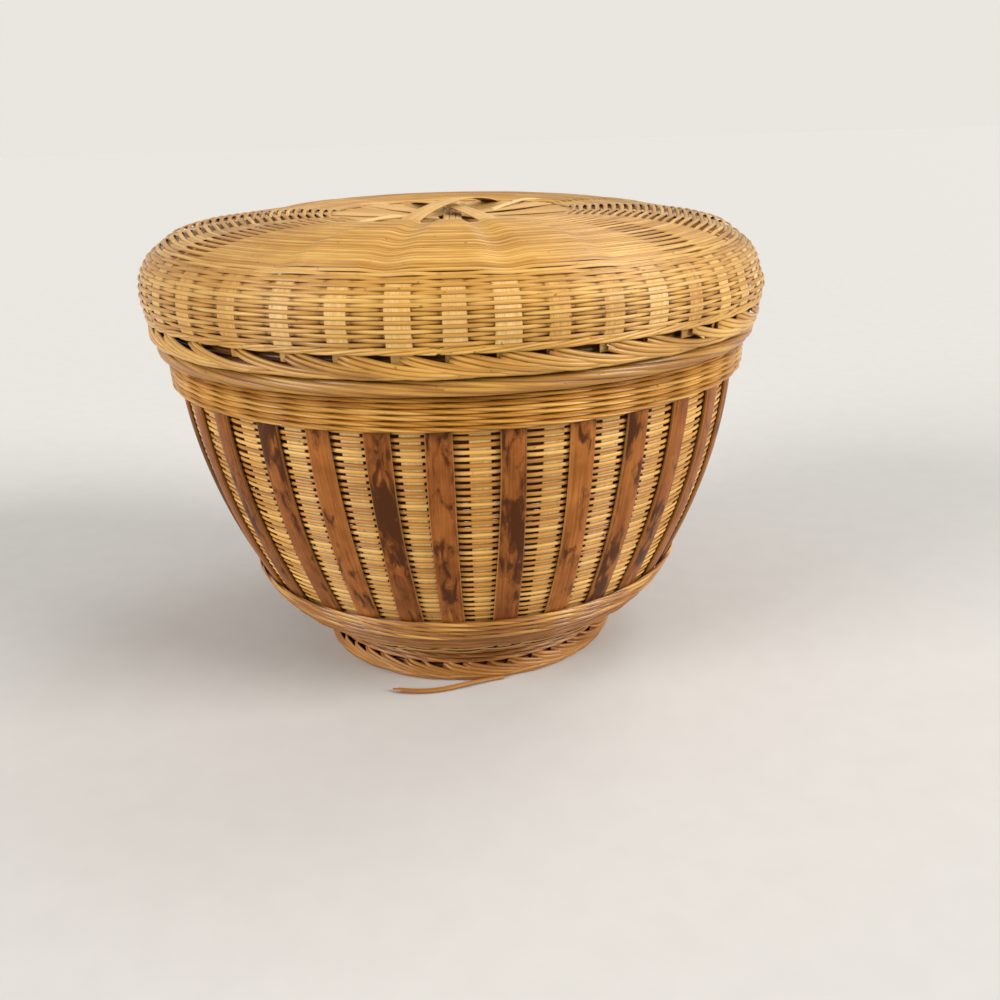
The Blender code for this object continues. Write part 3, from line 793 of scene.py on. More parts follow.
def new_material(name):
    """Material with an empty tree but for its shader."""
    material = bpy.data.materials.new(name)
    material.use_nodes = True
    tree = material.node_tree
    return material, tree, tree.nodes["Principled BSDF"]


def streaked_tone(tree, grain, share):
    """Tone of each strand, lighter and darker with its grain."""
    change = maths(tree, "MULTIPLY", maths(tree, "SUBTRACT", grain, 0.5), share)
    return maths(tree, "ADD", attribute(tree, "tone"), change)


def finish_surface(tree, shader, colour, grain, fibres, gloss_range, bump, coat, coat_roughness, specular):
    """Colour, gloss that changes with the grain, relief of the fibres and varnish."""
    tree.links.new(colour, shader.inputs["Base Color"])
    gloss = add_node(tree, "ShaderNodeMapRange", {0: grain, 3: gloss_range[0], 4: gloss_range[1]})
    tree.links.new(gloss.outputs[0], shader.inputs["Roughness"])
    relief = add_node(tree, "ShaderNodeBump", {"Height": fibres, "Strength": bump, "Distance": FIBRE_RELIEF})
    tree.links.new(relief.outputs[0], shader.inputs["Normal"])
    shader.inputs["Coat Weight"].default_value = coat
    shader.inputs["Coat Roughness"].default_value = coat_roughness
    shader.inputs["Specular IOR Level"].default_value = specular


def cane_material(name, dark, middle, light, roughness, coat, crease_shade, grain_across):
    """Split cane under varnish: tone by strand, long grain, and painted shade in creases and at strand edges.
    """
    material, tree, shader = new_material(name)
    grain = strand_noise(tree, CANE_GRAIN_ALONG, grain_across)
    fibres = strand_noise(tree, CANE_FIBRES_ALONG, grain_across * CANE_FIBRES_TO_GRAIN, FIBRE_DETAIL)
    tone = streaked_tone(tree, grain, CANE_STREAKS)
    colour = ramp(tree, tone, *zip(CANE_TONE_PLACES, (dark, middle, light)))
    blotch = levels(tree, place_noise(tree, *BLOTCHES), *BLOTCH_STOPS)
    colour = mix_colours(tree, maths(tree, "MULTIPLY", blotch, BLOTCH_SHARE), colour, (*dark, 1.0))
    lines = levels(tree, fibres, *CANE_LINE_STOPS)
    colour = mix_colours(tree, CANE_LINE_SHARE, colour, lines, "MULTIPLY")
    # Painted shade where the crest share is low: in creases, recesses and under other strands
    deep = tuple((1.0 - crease_shade) * level for level in CREASE_TINT)
    mild = tuple((1.0 - crease_shade * HALF_CREASE_SHARE) * level for level in HALF_CREASE_TINT)
    shade = ramp(tree, attribute(tree, "crest"), *zip(CREST_PLACES, (deep, mild, (1.0, 1.0, 1.0))))
    colour = mix_colours(tree, 1.0, colour, shade, "MULTIPLY")
    # Painted shade along the edges of each strand
    edges = ramp(tree, attribute(tree, "bank"), *BANK_STOPS)
    colour = mix_colours(tree, 1.0, colour, edges, "MULTIPLY")
    specks = levels(tree, place_noise(tree, *SPECKS), *SPECK_STOPS)
    colour = mix_colours(tree, maths(tree, "MULTIPLY", specks, SPECK_SHARE), colour, (*SPECK_COLOUR, 1.0))
    gloss = [roughness + change for change in CANE_GLOSS_RANGE]
    finish_surface(
        tree, shader, colour, grain, fibres, gloss, CANE_BUMP, coat, CANE_COAT_ROUGHNESS, CANE_SPECULAR
    )
    return material


def bamboo_material():
    """Brown bamboo skin with fine upright grain, pale cut edges and scorched patches with dark outlines."""
    material, tree, shader = new_material("scorched_bamboo")
    grain = strand_noise(tree, *BAMBOO_GRAIN)
    fibres = strand_noise(tree, *BAMBOO_FIBRES)
    colour = ramp(tree, streaked_tone(tree, grain, BAMBOO_STREAKS), *BAMBOO_TONE_STOPS)
    lines = levels(tree, fibres, *BAMBOO_LINE_STOPS)
    colour = mix_colours(tree, BAMBOO_LINE_SHARE, colour, lines, "MULTIPLY")
    cloud = ramp(tree, place_noise(tree, *CLOUDS), *CLOUD_STOPS)
    colour = mix_colours(tree, CLOUD_SHARE, colour, cloud, "MULTIPLY")
    broad = maths(tree, "MULTIPLY", strand_noise(tree, *BROAD_SCORCH), BROAD_SCORCH_SHARE)
    fine = maths(tree, "MULTIPLY", strand_noise(tree, *FINE_SCORCH), FINE_SCORCH_SHARE)
    pull = maths(tree, "MULTIPLY", attribute(tree, "crest"), SCORCH_PULL)
    reach = maths(tree, "ADD", maths(tree, "ADD", broad, fine), pull)
    scorched = levels(tree, reach, *SCORCH_STOPS)
    colour = mix_colours(tree, scorched, colour, (*SCORCH_COLOUR, 1.0))
    cut = levels(tree, strand_place(tree)[1], *CUT_EDGE_STOPS)
    colour = mix_colours(tree, maths(tree, "MULTIPLY", cut, CUT_EDGE_SHARE), colour, (*CUT_EDGE_COLOUR, 1.0))
    finish_surface(
        tree,
        shader,
        colour,
        grain,
        fibres,
        BAMBOO_ROUGHNESS,
        BAMBOO_BUMP,
        BAMBOO_COAT,
        BAMBOO_COAT_ROUGHNESS,
        BAMBOO_SPECULAR,
    )
    return material


# Wall


def lay_wall_rows(cane, shaded_cane):
    """Rows of the wall: one set passes over the light stakes, the other lies deeper behind them, painted dark
    as shade.
    """
    azimuths, phases = wall_samples()
    over = np.tanh(ROW_SHARPNESS * (ROW_OVER_BIAS - np.cos(phases)))
    under = -np.tanh(BACK_ROW_SHARPNESS * (BACK_ROW_BIAS - np.cos(phases)))
    rows = int((LAST_ROW_HEIGHT - FIRST_ROW_HEIGHT) / ROW_PITCH)
    halves = (0, rows // 2, rows)
    for part, (first, last) in enumerate(zip(halves, halves[1:]), start=1):
        front = Strands()
        back = Strands()
        for row in range(first, last):
            height = FIRST_ROW_HEIGHT + row * ROW_PITCH
            waver = sum(ROW_WANDER * np.sin(azimuths * waves + row * step) for waves, step in ROW_WAVES)
            lay_wall_row(front, azimuths, height + waver, over, ROW_WIDTH, tone_of("row"), 1.0)
            heights = height + ROW_PITCH / 2.0 + waver
            tone = tone_of("back_row")
            lay_wall_row(back, azimuths, heights, under, BACK_ROW_WIDTH, tone, BACK_ROW_CREST_SHARE)
        front.make(f"wall_rows_front_{part}", cane, "basket", "varnished_cane", "wall_weave")
        back.make(f"wall_rows_back_{part}", shaded_cane, "basket", "varnished_cane", "wall_weave")


def lay_wall_row(pile, azimuths, heights, weave, width, tone, crest_share):
    """One closed row of the wall, woven in and out by the weave shares."""
    middle = WALL_THICKNESS / 2.0 - ROW_OUTSET
    swing = (WALL_THICKNESS - ROW_THICKNESS) / 2.0
    radius = wall_radius(heights) - middle - ROW_THICKNESS / 2.0 + swing * weave
    path = place(azimuths, radius, heights)
    outward = facing_out(azimuths, 1.0, -wall_fall(heights))
    # Painted shade where the row turns in behind the stakes
    crest = (0.5 + 0.5 * weave) * crest_share
    pile.lay(path, outward, width, ROW_THICKNESS, LENS_SECTION, tone, crest, closed=True)


def lay_wall_stakes(cane):
    """Flat stakes in the middle of the wall: wide light ones in the gaps, narrow ones behind the slats."""
    low = WALL_BOTTOM + SLAT_SEAT_GAP
    high = WALL_BOTTOM + WALL_HEIGHT - SLAT_SEAT_GAP
    heights = np.linspace(low, high, WALL_STAKE_STATIONS)
    share = (heights - low) / (high - low)
    radius = wall_radius(heights) - (WALL_THICKNESS + STAKE_THICKNESS) / 2.0
    widening = smooth_step(share, 0.0, GAP_STAKE_WIDENING_SHARE)
    gap_width = GAP_STAKE_FOOT_WIDTH + (GAP_STAKE_WIDTH - GAP_STAKE_FOOT_WIDTH) * widening
    filling = (WALL_THICKNESS + STAKE_THICKNESS) / 2.0 + SLAT_SEAT_GAP
    # The stakes behind the slats are painted in shade
    kinds = (
        ("gap_stake", gap_stake_azimuths(), gap_width, STAKE_THICKNESS, GAP_STAKE_CREST),
        ("behind_stake", slat_azimuths(), BEHIND_STAKE_WIDTH, filling, BEHIND_STAKE_CREST),
    )
    pile = Strands()
    for kind, azimuths, width, thickness, crest in kinds:
        for azimuth in azimuths:
            path = place(azimuth, radius, heights)
            outward = facing_out(azimuth, 1.0, -wall_fall(heights))
            pile.lay(path, outward, width, thickness, STRIP_SECTION, tone_of(kind), crest)
    pile.make("wall_stakes_woven", cane, "basket", "pale_cane", "wall_stakes")


def lay_slats(bamboo):
    """Bamboo slats that stand on the rows, each with its own scorching."""
    share = np.linspace(0.0, 1.0, SLAT_STATIONS)
    heights = SLAT_LOW + (SLAT_HIGH - SLAT_LOW) * share
    radius = wall_radius(heights) + SLAT_SEAT_GAP
    front = list(zip(FRONT_SCORCH_SHARES, FRONT_SCORCH_PLACES, FRONT_SLAT_TONES))
    for number, azimuth in enumerate(slat_azimuths(), start=1):
        if number <= len(front):
            scorch, spot, tone = front[number - 1]
        else:
            scorch = float(rng.choice(OTHER_SCORCH_SHARES))
            spot = float(rng.uniform())
            tone = tone_of("slat")
        spread = np.exp(-(((share - spot) / SCORCH_REACH_SHARE) ** 2))
        scorch = scorch * (SCORCH_SPREAD_SHARE + (1.0 - SCORCH_SPREAD_SHARE) * spread)
        sway = SLAT_SWAY / SLAT_SWAY_RADIUS * np.sin(heights * SLAT_SWAY_WAVES + number * SLAT_SWAY_STEP)
        waist = SLAT_WAIST_SHARE * (1.0 + np.sin(heights * SLAT_WAIST_WAVES + number * STRAND_STEP))
        path = place(azimuth + sway, radius, heights)
        outward = facing_out(azimuth, 1.0, -wall_fall(heights))
        pile = Strands()
        pile.lay(path, outward, SLAT_WIDTH * (1.0 - waist), SLAT_THICKNESS, SLAT_SECTION, tone, scorch)
        node = f"slat_{number:02d}"
        pile.make(f"{node}_bamboo", bamboo, "basket", "brown_bamboo", node)


# Bands, roll and hoops


def over_slats(height):
    """Inner radius of a band that passes over the slats."""
    return wall_radius(height) + SLAT_SEAT_GAP * 2.0 + SLAT_THICKNESS


def lay_band(name, material, seat):
    """Twined rows in the place of their node, on a seat that gives the inner radius at a height."""
    low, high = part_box(name)
    row_height = (high.z - low.z) / BANDS[name].rows
    pile = Strands()
    for row in range(BANDS[name].rows):
        lay_band_row(pile, name, low.z + row_height * (row + 0.5), row_height, seat, row * BANDS[name].step)
    pile.make(f"{name}_twined", material, "basket", BANDS[name].slot, name)


def lay_band_row(pile, name, height, row_height, seat, start):
    """One twisted row: its strands cross in front downwards to the right and return behind."""
    azimuths = circle(BAND_TURNS * BAND_SAMPLES)
    depth = BANDS[name].depth
    thickness = depth * BAND_THICKNESS_SHARE
    width = row_height * BANDS[name].strand_share
    rise = (row_height - width) * 0.5
    from_front = (np.degrees(azimuths) - STAIN_AZIMUTH_DEG + 180.0) % 360.0 - 180.0
    darkening = STAIN_SHARE * np.exp(-((from_front / STAIN_REACH_DEG) ** 2))
    for strand in range(BAND_STRANDS):
        phase = start + TURN * strand / BAND_STRANDS - BAND_TURNS * azimuths
        heights = height + rise * np.sin(phase)
        radius = seat(heights) + (depth - thickness) * (0.5 + 0.5 * np.cos(phase))
        path = place(azimuths, radius, heights)
        upward = BAND_LEAN * np.sin(phase) - BAND_FALL_SHARE * wall_fall(height)
        outward = facing_out(azimuths, 1.0, upward)
        # Painted shade where the strand turns in behind the others; darkening marks the patch in front
        crest = (BAND_CREST[0] + BAND_CREST[1] * np.cos(phase)) * (1.0 - darkening)
        pile.lay(path, outward, width, thickness, LENS_SECTION, tone_of(name), crest, closed=True)


def lay_roll(material):
    """Rim roll: long glossy strands that turn slowly round a core."""
    low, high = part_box("rim_roll")
    middle = (low.z + high.z) / 2.0
    half = (high.z - low.z) / 2.0
    centre = high.x - half
    reach = half - ROLL_STRAND_THICKNESS
    azimuths = circle(ROLL_TURNS * ROLL_SAMPLES)
    pile = Strands()
    for strand in range(ROLL_STRANDS):
        wobble = ROLL_WOBBLE * np.sin(azimuths * ROLL_WAVES + strand * STRAND_STEP)
        phase = TURN * strand / ROLL_STRANDS - ROLL_TURNS * azimuths + wobble
        path = place(azimuths, centre + reach * np.cos(phase), middle + reach * np.sin(phase))
        outward = facing_out(azimuths, np.cos(phase), np.sin(phase))
        # Painted shade where the strand turns in towards the core
        crest = ROLL_CREST[0] + ROLL_CREST[1] * np.cos(phase)
        size = (ROLL_STRAND_WIDTH, ROLL_STRAND_THICKNESS)
        pile.lay(path, outward, *size, LENS_SECTION, tone_of("rim_roll"), crest, closed=True)
    wall = wall_radius(low.z)
    core = (high.x - wall - half) * ROLL_INNER_CORE_SHARE
    # The two filling rings are painted in shade
    for radius, size in ((centre, half * ROLL_CORE_SHARE), (wall + core / 2.0, core)):
        path = place(azimuths, radius - size / 2.0, middle)
        outward = facing_out(azimuths, 1.0, 0.0)
        pile.lay(path, outward, size, size, ROUND_SECTION, *ROLL_CORE_LOOK, closed=True)
    pile.make("rim_roll_twisted", material, "basket", "varnished_cane", "rim_roll")


def lay_hoop(name, material, slot, strips):
    """Smooth hoop of flat strips laid edge on edge."""
    low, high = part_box(name)
    azimuths = circle(HOOP_SAMPLES)
    height = (high.z - low.z) / strips
    pile = Strands()
    for strip in range(strips):
        wander = height * HOOP_WANDER_SHARE * np.sin(azimuths * HOOP_WAVES + strip * HOOP_STEP)
        middle = low.z + height * (strip + 0.5) + wander
        radius = wall_radius(middle) + HOOP_GAP + HOOP_RIPPLE * np.sin(azimuths * HOOP_RIPPLES + strip)
        path = place(azimuths, radius, middle)
        outward = facing_out(azimuths, 1.0, -HOOP_FALL_SHARE * wall_fall(middle))
        size = (height * HOOP_OVERLAP_SHARE, HOOP_THICKNESS)
        tone = tone_of(name) if name in TONES else COLLAR_HOOP_TONE
        pile.lay(path, outward, *size, LENS_SECTION, tone, HOOP_CREST, closed=True)
    pile.make(f"{name}_strips", material, "basket", slot, name)


# Plaited edges


def lay_braid(node, material, slot, body, braid, azimuths):
    """Plaited edge: groups of strips that slip under the edge strands, and rings that fill it from within."""
    low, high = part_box(node)
    room = high.x - braid.inner_radius - braid.thickness
    spacing = TURN / len(azimuths)
    pile = Strands()
    for even_start in azimuths:
        start = even_start + spacing * BRAID_UNEVEN_SHARE * rng.uniform(-1.0, 1.0)
        lean = rng.uniform(-BRAID_LEAN, BRAID_LEAN)
        tone = tone_of(node)
        strips = braid.strips - int(rng.uniform() < BRAID_THIN_SHARE)
        for order in np.arange(strips) - (strips - 1) / 2.0:
            lay_braid_strip(pile, braid, low.z, room, start, spacing * braid.reach, lean, order, tone)
    around = circle(len(azimuths) * EDGE_SAMPLES)
    outward = facing_out(around, 1.0, EDGE_LEAN)
    for strand in range(braid.edge_strands):
        wave = np.sin(around * len(azimuths) / EDGE_WAVE_GROUPS + strand * EDGE_STEP)
        wave = EDGE_WIDTH * EDGE_WAVE_SHARE * wave
        level = low.z + EDGE_WIDTH * (EDGE_LEVELS[0] + EDGE_LEVELS[1] * strand) + np.abs(wave)
        reach = EDGE_RADIUS_SHARES[0] + EDGE_RADIUS_SHARES[1] * strand
        path = place(around, braid.inner_radius + room * reach + wave * 0.5, level)
        size = (EDGE_WIDTH, braid.thickness)
        pile.lay(path, outward, *size, LENS_SECTION, tone_of(node), EDGE_CREST, closed=True)
    height = high.z - low.z
    # The filling rings are painted in shade
    for level, share in CORE_RINGS:
        path = place(around, braid.inner_radius + room * CORE_RADIUS_SHARE, low.z + height * level)
        size = (height * CORE_HEIGHT_SHARE, room * share)
        pile.lay(path, outward, *size, LENS_SECTION, *BRAID_CORE_LOOK, closed=True)
    pile.make(f"{node}_plait", material, body, slot, node)


def lay_braid_strip(pile, braid, low, room, start, sweep, lean, order, tone):
    """One strip of a group, which comes out at the top, sweeps down to the right and slips under the edge."""
    travel = np.linspace(0.0, 1.0, BRAID_STATIONS)
    lowest = low + braid.strip_width * BRAID_END_SHARE
    fall = braid.top - lowest - braid.strip_width * 0.5
    drop = (1.0 - travel) ** (braid.drop + lean * BRAID_LEAN_DROP)
    lift = braid.start_share + (1.0 - braid.start_share) * hump(travel, *BRAID_LIFT_SHARES)
    azimuth = start + sweep * travel * (1.0 + lean)
    radius = braid.inner_radius + room * lift - braid.thickness * BRAID_NEST_SHARE * abs(order)
    path = place(azimuth, radius, lowest + fall * drop)
    outward = facing_out(azimuth, 1.0, BRAID_FACING[0] - BRAID_FACING[1] * (1.0 - drop))
    across = unit(np.cross(unit(np.gradient(path, axis=0)), outward))
    path = path + across * (order * braid.strip_width * (1.0 - braid.squeeze * travel))[:, None]
    path[:, 2] = np.clip(path[:, 2], low + braid.strip_width * 0.5, braid.top)
    # Painted shade at both ends of the strip
    crest = BRAID_CREASE + (1.0 - BRAID_CREASE) * hump(travel, *BRAID_CREST_SHARES)
    strip_tone = tone + rng.uniform(-BRAID_TONE_SPREAD, BRAID_TONE_SPREAD)
    pile.lay(path, outward, braid.strip_width, braid.thickness, LENS_SECTION, strip_tone, crest)


def hump(travel, risen, falling):
    """Share that rises up to one place along a strand and falls from another."""
    return smooth_step(travel, 0.0, risen) * (1.0 - smooth_step(travel, falling, 1.0))


def lay_weave_edge(cane):
    """Strands twined round the lower edge of the lid's weave."""
    around = circle(LID_STAKE_COUNT * EDGE_SAMPLES)
    outward = facing_out(around, 1.0, EDGE_PAIR_LEAN)
    pile = Strands()
    for strand in range(EDGE_PAIR_STRANDS):
        phase = around * LID_STAKE_COUNT / 2.0 + TURN * strand / EDGE_PAIR_STRANDS
        height = LID_SHELL_BOTTOM + EDGE_PAIR_RISE + EDGE_PAIR_SWING * np.sin(phase)
        radius = LID_EDGE_RADIUS - EDGE_PAIR_SINK + EDGE_PAIR_SWING * 0.5 * np.cos(phase)
        path = place(around, radius, height)
        size = (EDGE_PAIR_WIDTH, EDGE_PAIR_THICKNESS)
        pile.lay(path, outward, *size, LENS_SECTION, tone_of("weave_edge"), EDGE_PAIR_CREST, closed=True)
    pile.make("lid_weave_edge", cane, "lid", "varnished_cane", "lid_weave")


def lay_cut_ends(cane):
    """Tails of the stakes, and square-cut ends turned to the right over the top of the lid's plaited edge."""
    share = np.linspace(0.0, 1.0, CUT_END_STATIONS)
    pile = Strands()
    for degrees in lid_stake_azimuths():
        azimuth = math.radians(degrees)
        radius = LID_EDGE_RADIUS - TAIL_DEPTH - TAIL_LEAN * share
        path = place(azimuth, radius, LID_BRAID.top - TAIL_DROP * share)
        outward = facing_out(azimuth, 1.0, 0.0)
        pile.lay(path, outward, TAIL_WIDTH, CUT_END_THICKNESS, STRIP_SECTION, tone_of("stake_tail"))
        shown = rng.uniform() < CUT_END_SHARE
        turn = np.radians(degrees + CUT_END_TURN_DEG * (share + rng.uniform(*CUT_END_TURN_SHARES)))
        width = CUT_END_WIDTH * rng.uniform(*CUT_END_WIDTH_SHARES)
        if shown:
            radius = LID_EDGE_RADIUS - CUT_END_DEPTH + CUT_END_OUTWARD * share
            path = place(turn, radius, LID_BRAID.top - CUT_END_SINK - CUT_END_DROP * share)
            outward = facing_out(turn, 1.0, CUT_END_FACING)
            tone = tone_of("cut_end")
            pile.lay(path, outward, width, CUT_END_THICKNESS, STRIP_SECTION, tone, CUT_END_CREST)
    pile.make("lid_edge_cut_ends", cane, "lid", "pale_cane", "lid_braid")


# Lid


def lid_outline():
    """Smoothed outer outline of the lid from its lower edge to the hub: lengths, radii, heights, normals."""
    points = [(LID_EDGE_RADIUS, LID_SHELL_BOTTOM - WEAVE_OVERHANG), (LID_EDGE_RADIUS, LID_SHELL_BOTTOM)]
    for radius_share, height_share in LID_OUTLINE_SHARES[::-1]:
        points.append((LID_RADIUS * radius_share, LID_SHELL_BOTTOM + LID_SHELL_HEIGHT * height_share))
    points.append((HUB_RIM_RADIUS, LID_SHELL_BOTTOM + LID_SHELL_HEIGHT * HUB_RIM_HEIGHT_SHARE))
    points = np.array(points)
    chords = lengths_along(points)
    lengths = np.linspace(0, chords[-1], OUTLINE_STEPS)
    rough = np.stack([np.interp(lengths, chords, points[:, axis]) for axis in (0, 1)], axis=-1)
    reach = int(OUTLINE_SMOOTHING / 2.0 / (lengths[1] - lengths[0]))
    before = 2 * rough[0] - rough[reach:0:-1]
    after = 2 * rough[-1] - rough[-2 : -reach - 2 : -1]
    padded = np.concatenate((before, rough, after))
    window = np.ones(2 * reach + 1) / (2 * reach + 1)
    smooth = np.stack([np.convolve(padded[:, axis], window, mode="valid") for axis in (0, 1)], axis=-1)
    ahead = unit(np.gradient(smooth, axis=0))
    normals = np.stack((ahead[:, 1], -ahead[:, 0]), axis=-1)
    return lengths, smooth, normals


def lid_at(length):
    """Radius, height and outward normal of the lid's outline at lengths up from its edge."""
    lengths, points, normals = LID_OUTLINE
    radius = np.interp(length, lengths, points[:, 0])
    height = np.interp(length, lengths, points[:, 1])
    normal_out = np.interp(length, lengths, normals[:, 0])
    normal_up = np.interp(length, lengths, normals[:, 1])
    return radius, height, normal_out, normal_up


def length_at_radius(radius):
    """Length along the lid's outline at which the crown has this radius."""
    lengths, points, _normals = LID_OUTLINE
    crown = points[:, 1] > LID_SHELL_BOTTOM + LID_SHELL_HEIGHT / 2.0
    return np.interp(-radius, -points[crown, 0], lengths[crown])


def lid_stake_azimuths():
    """Azimuths of the lid's stakes in degrees: as seen in front, and even elsewhere."""
    rest = LID_STAKE_COUNT - len(FRONT_LID_STAKES_DEG)
    first = FRONT_LID_STAKES_DEG[-1]
    last = FRONT_LID_STAKES_DEG[0] + 360.0
    others = np.linspace(first, last, rest + 2)[1:-1]
    wander = LID_STAKE_WANDER_DEG * np.sin(np.arange(rest) * LID_STAKE_STEP)
    return np.concatenate((FRONT_LID_STAKES_DEG, others + wander))


def arm_azimuths():
    """Azimuths of the hub's arms in degrees, in order."""
    straps = np.array(HUB_STRAP_AZIMUTHS_DEG)
    return np.sort(np.concatenate((straps, straps + 180.0, SIDE_ARMS_DEG)) % 360.0)


def turn_index(azimuths, marks):
    """Place of each azimuth among marks round the circle, which grows by their count each turn."""
    count = len(marks)
    marks = np.sort(np.asarray(marks) % 360.0)
    wide = np.concatenate(([marks[-1] - 360.0], marks, [marks[0] + 360.0]))
    places = np.arange(-1, count + 1)
    turns = np.floor(azimuths / 360.0)
    return np.interp(azimuths - turns * 360.0, wide, places) + turns * count


def lean_lid(points):
    """The crown of the hand-made lid leans back and to the left, and its right shoulder is drawn in."""
    right, back, height = points.T
    share = (height - LID_SHELL_BOTTOM) / LID_SHELL_HEIGHT
    rise = CROWN_BACK_SLOPE * back + CROWN_RIGHT_SLOPE * right
    rise = rise + CROWN_BACK_RISE * smooth_step(back / LID_RADIUS, *BACK_RISE_SHARES)
    draw_in = SIDE_DRAW_IN * smooth_step(right / LID_RADIUS, *DRAW_IN_SHARES)
    moved = points.copy()
    moved[:, 2] += rise * smooth_step(share, *LEAN_HEIGHT_SHARES)
    moved[:, 0] -= draw_in * smooth_step(share, *DRAW_IN_HEIGHT_SHARES)
    return moved


def lid_row_lengths():
    """Length along the outline at which each turn of the weave starts."""
    lengths = [SIDE_PITCH * FIRST_TURN_SHARE]
    total = LID_OUTLINE[0][-1]
    while lengths[-1] < total - TOP_PITCH / 2.0:
        share = smooth_step(lengths[-1], PATCH_LENGTH, PATCH_LENGTH * 2.0)
        lengths.append(lengths[-1] + SIDE_PITCH + (TOP_PITCH - SIDE_PITCH) * share)
    return np.array(lengths)


def arm_half_width(radius):
    """Half the width of an arm of strips under the crown's rows."""
    return ARM_HALF_WIDTH + (radius - HUB_RIM_RADIUS) * ARM_WIDENING


def side_weave(degrees, length):
    """Depth and crest share of rows on the lid's side, which pass over and under the stakes by turns."""
    place_among = turn_index(degrees, lid_stake_azimuths())
    wave = np.tanh(SIDE_SHARPNESS * np.cos(np.pi * place_among))
    shoulder = smooth_step(length, PATCH_LENGTH - PATCH_FADE, PATCH_LENGTH + PATCH_FADE)
    depth = (LID_DIP + (SHOULDER_DIP - LID_DIP) * shoulder) * wave
    from_stake = np.abs(place_among - np.round(place_among))
    edge = np.exp(-(((from_stake - STAKE_EDGE_SHARE) / STAKE_EDGE_FADE_SHARE) ** 2))
    # Painted shade where the rows pass under the stakes, and painted shadow ticks at the stakes' edges
    crest = SIDE_CREST + SIDE_CREST_SWING * wave * (1.0 - SHOULDER_CALM_SHARE * shoulder)
    crest = crest - STAKE_EDGE_SHADE * edge * np.clip(-wave * 2.0, 0.0, 1.0)
    return depth, crest, shoulder


def crown_weave(degrees, radius, row):
    """Depth and crest share of rows on the crown, of which every second one dives under each arm."""
    arms = arm_azimuths()
    near = turn_index(degrees, arms)
    arm = np.round(near)
    wide = np.concatenate((arms[-1:] - 360.0, arms, arms[:1] + 360.0))
    angle = np.abs((degrees % 360.0)[:, None] - wide[None, :]).min(axis=1)
    start = ARM_START_SHARE * arm_half_width(radius)
    share = 1.0 - smooth_step(np.radians(angle) * radius, start, start + ARM_STEP)
    sideways = np.abs(np.sin(np.radians(degrees))) ** FRONT_ARM_POWER
    share = share * (1.0 - smooth_step(np.abs(near - arm), *ARM_NEAR_SHARES))
    share = share * (FRONT_ARM_SHARE + (1.0 - FRONT_ARM_SHARE) * sideways)
    dives = (arm + row) % 2 == 0
    depth = share * np.where(dives, -ARM_DIP, ARM_RISE)
    # The diving rows are painted in shade
    crest = CROWN_CREST + share * np.where(dives, DIVE_CREST, RISE_CREST)
    return depth, crest


def front_panels(degrees, radius):
    """Rise of the rows over the three arms in front."""
    half = PANEL_HALF_WIDTH + (radius - HUB_RIM_RADIUS) * PANEL_WIDENING
    angle = np.abs((degrees[:, None] - np.array(FRONT_ARMS_DEG) + 180.0) % 360.0 - 180.0).min(axis=1)
    return PANEL_RISE * (1.0 - smooth_step(np.radians(angle) * radius / half, *PANEL_EDGE_SHARES))


def lay_lid_weave(cane):
    """One long strand after another wound round the lid, from its edge over the shoulder to the hub."""
    starts = lid_row_lengths()
    bounds = np.linspace(0, len(starts) - 1, LID_WEAVE_PIECES + 1).astype(int)
    for part, (first, last) in enumerate(zip(bounds, bounds[1:]), start=1):
        pile = Strands()
        joints = np.arange(first, last, LID_STRAND_LENGTH_TURNS)
        for start, end in zip(joints, np.append(joints[1:], last)):
            lay_lid_strand(pile, starts, start, end)
        pile.make(f"lid_weave_rows_{part}", cane, "lid", "varnished_cane", "lid_weave", bend=lean_lid)


def lay_lid_strand(pile, starts, start, end):
    """One long strand of the lid between two counts of turns."""
    rows = len(starts) - 1
    samples = LID_STAKE_COUNT * LID_WEAVE_SAMPLES
    turns = np.linspace(start, end, int(round((end - start) * samples)) + 1)
    length = np.interp(turns, np.arange(rows + 1), starts)
    pitch = np.interp(turns, np.arange(rows), np.diff(starts))
    degrees = SEAM_AZIMUTH_DEG + turns * 360.0
    azimuths = np.radians(degrees)
    radius, height, normal_out, normal_up = lid_at(length)
    side_depth, side_crest, shoulder = side_weave(degrees, length)
    crown_depth, crown_crest = crown_weave(degrees, radius, np.floor(turns + ROUNDING))
    crown_depth = crown_depth + front_panels(degrees, radius)
    side = smooth_step(radius, SPLITS_FROM, SPLITS_TO)
    depth = side * side_depth + (1.0 - side) * crown_depth - LID_STRAND_THICKNESS - LID_DIP * side
    crest = side * side_crest + (1.0 - side) * crown_crest
    side_width = PATCH_WIDTH_SHARE + (SHOULDER_WIDTH_SHARE - PATCH_WIDTH_SHARE) * shoulder
    width = pitch * (TOP_WIDTH_SHARE + (side_width - TOP_WIDTH_SHARE) * side)
    path = place(azimuths, radius + normal_out * depth, height + normal_up * depth)
    outward = facing_out(azimuths, normal_out, normal_up)
    # The rows grow darker towards the back of the crown
    darkening = BACK_DARKENING_SHARE * smooth_step(path[:, 1] / LID_RADIUS, *DARKER_BACK_SHARES)
    crest = np.clip(crest - darkening, 0.0, 1.0)
    pile.lay(path, outward, width, LID_STRAND_THICKNESS, LENS_SECTION, tone_of("lid_weave"), crest)


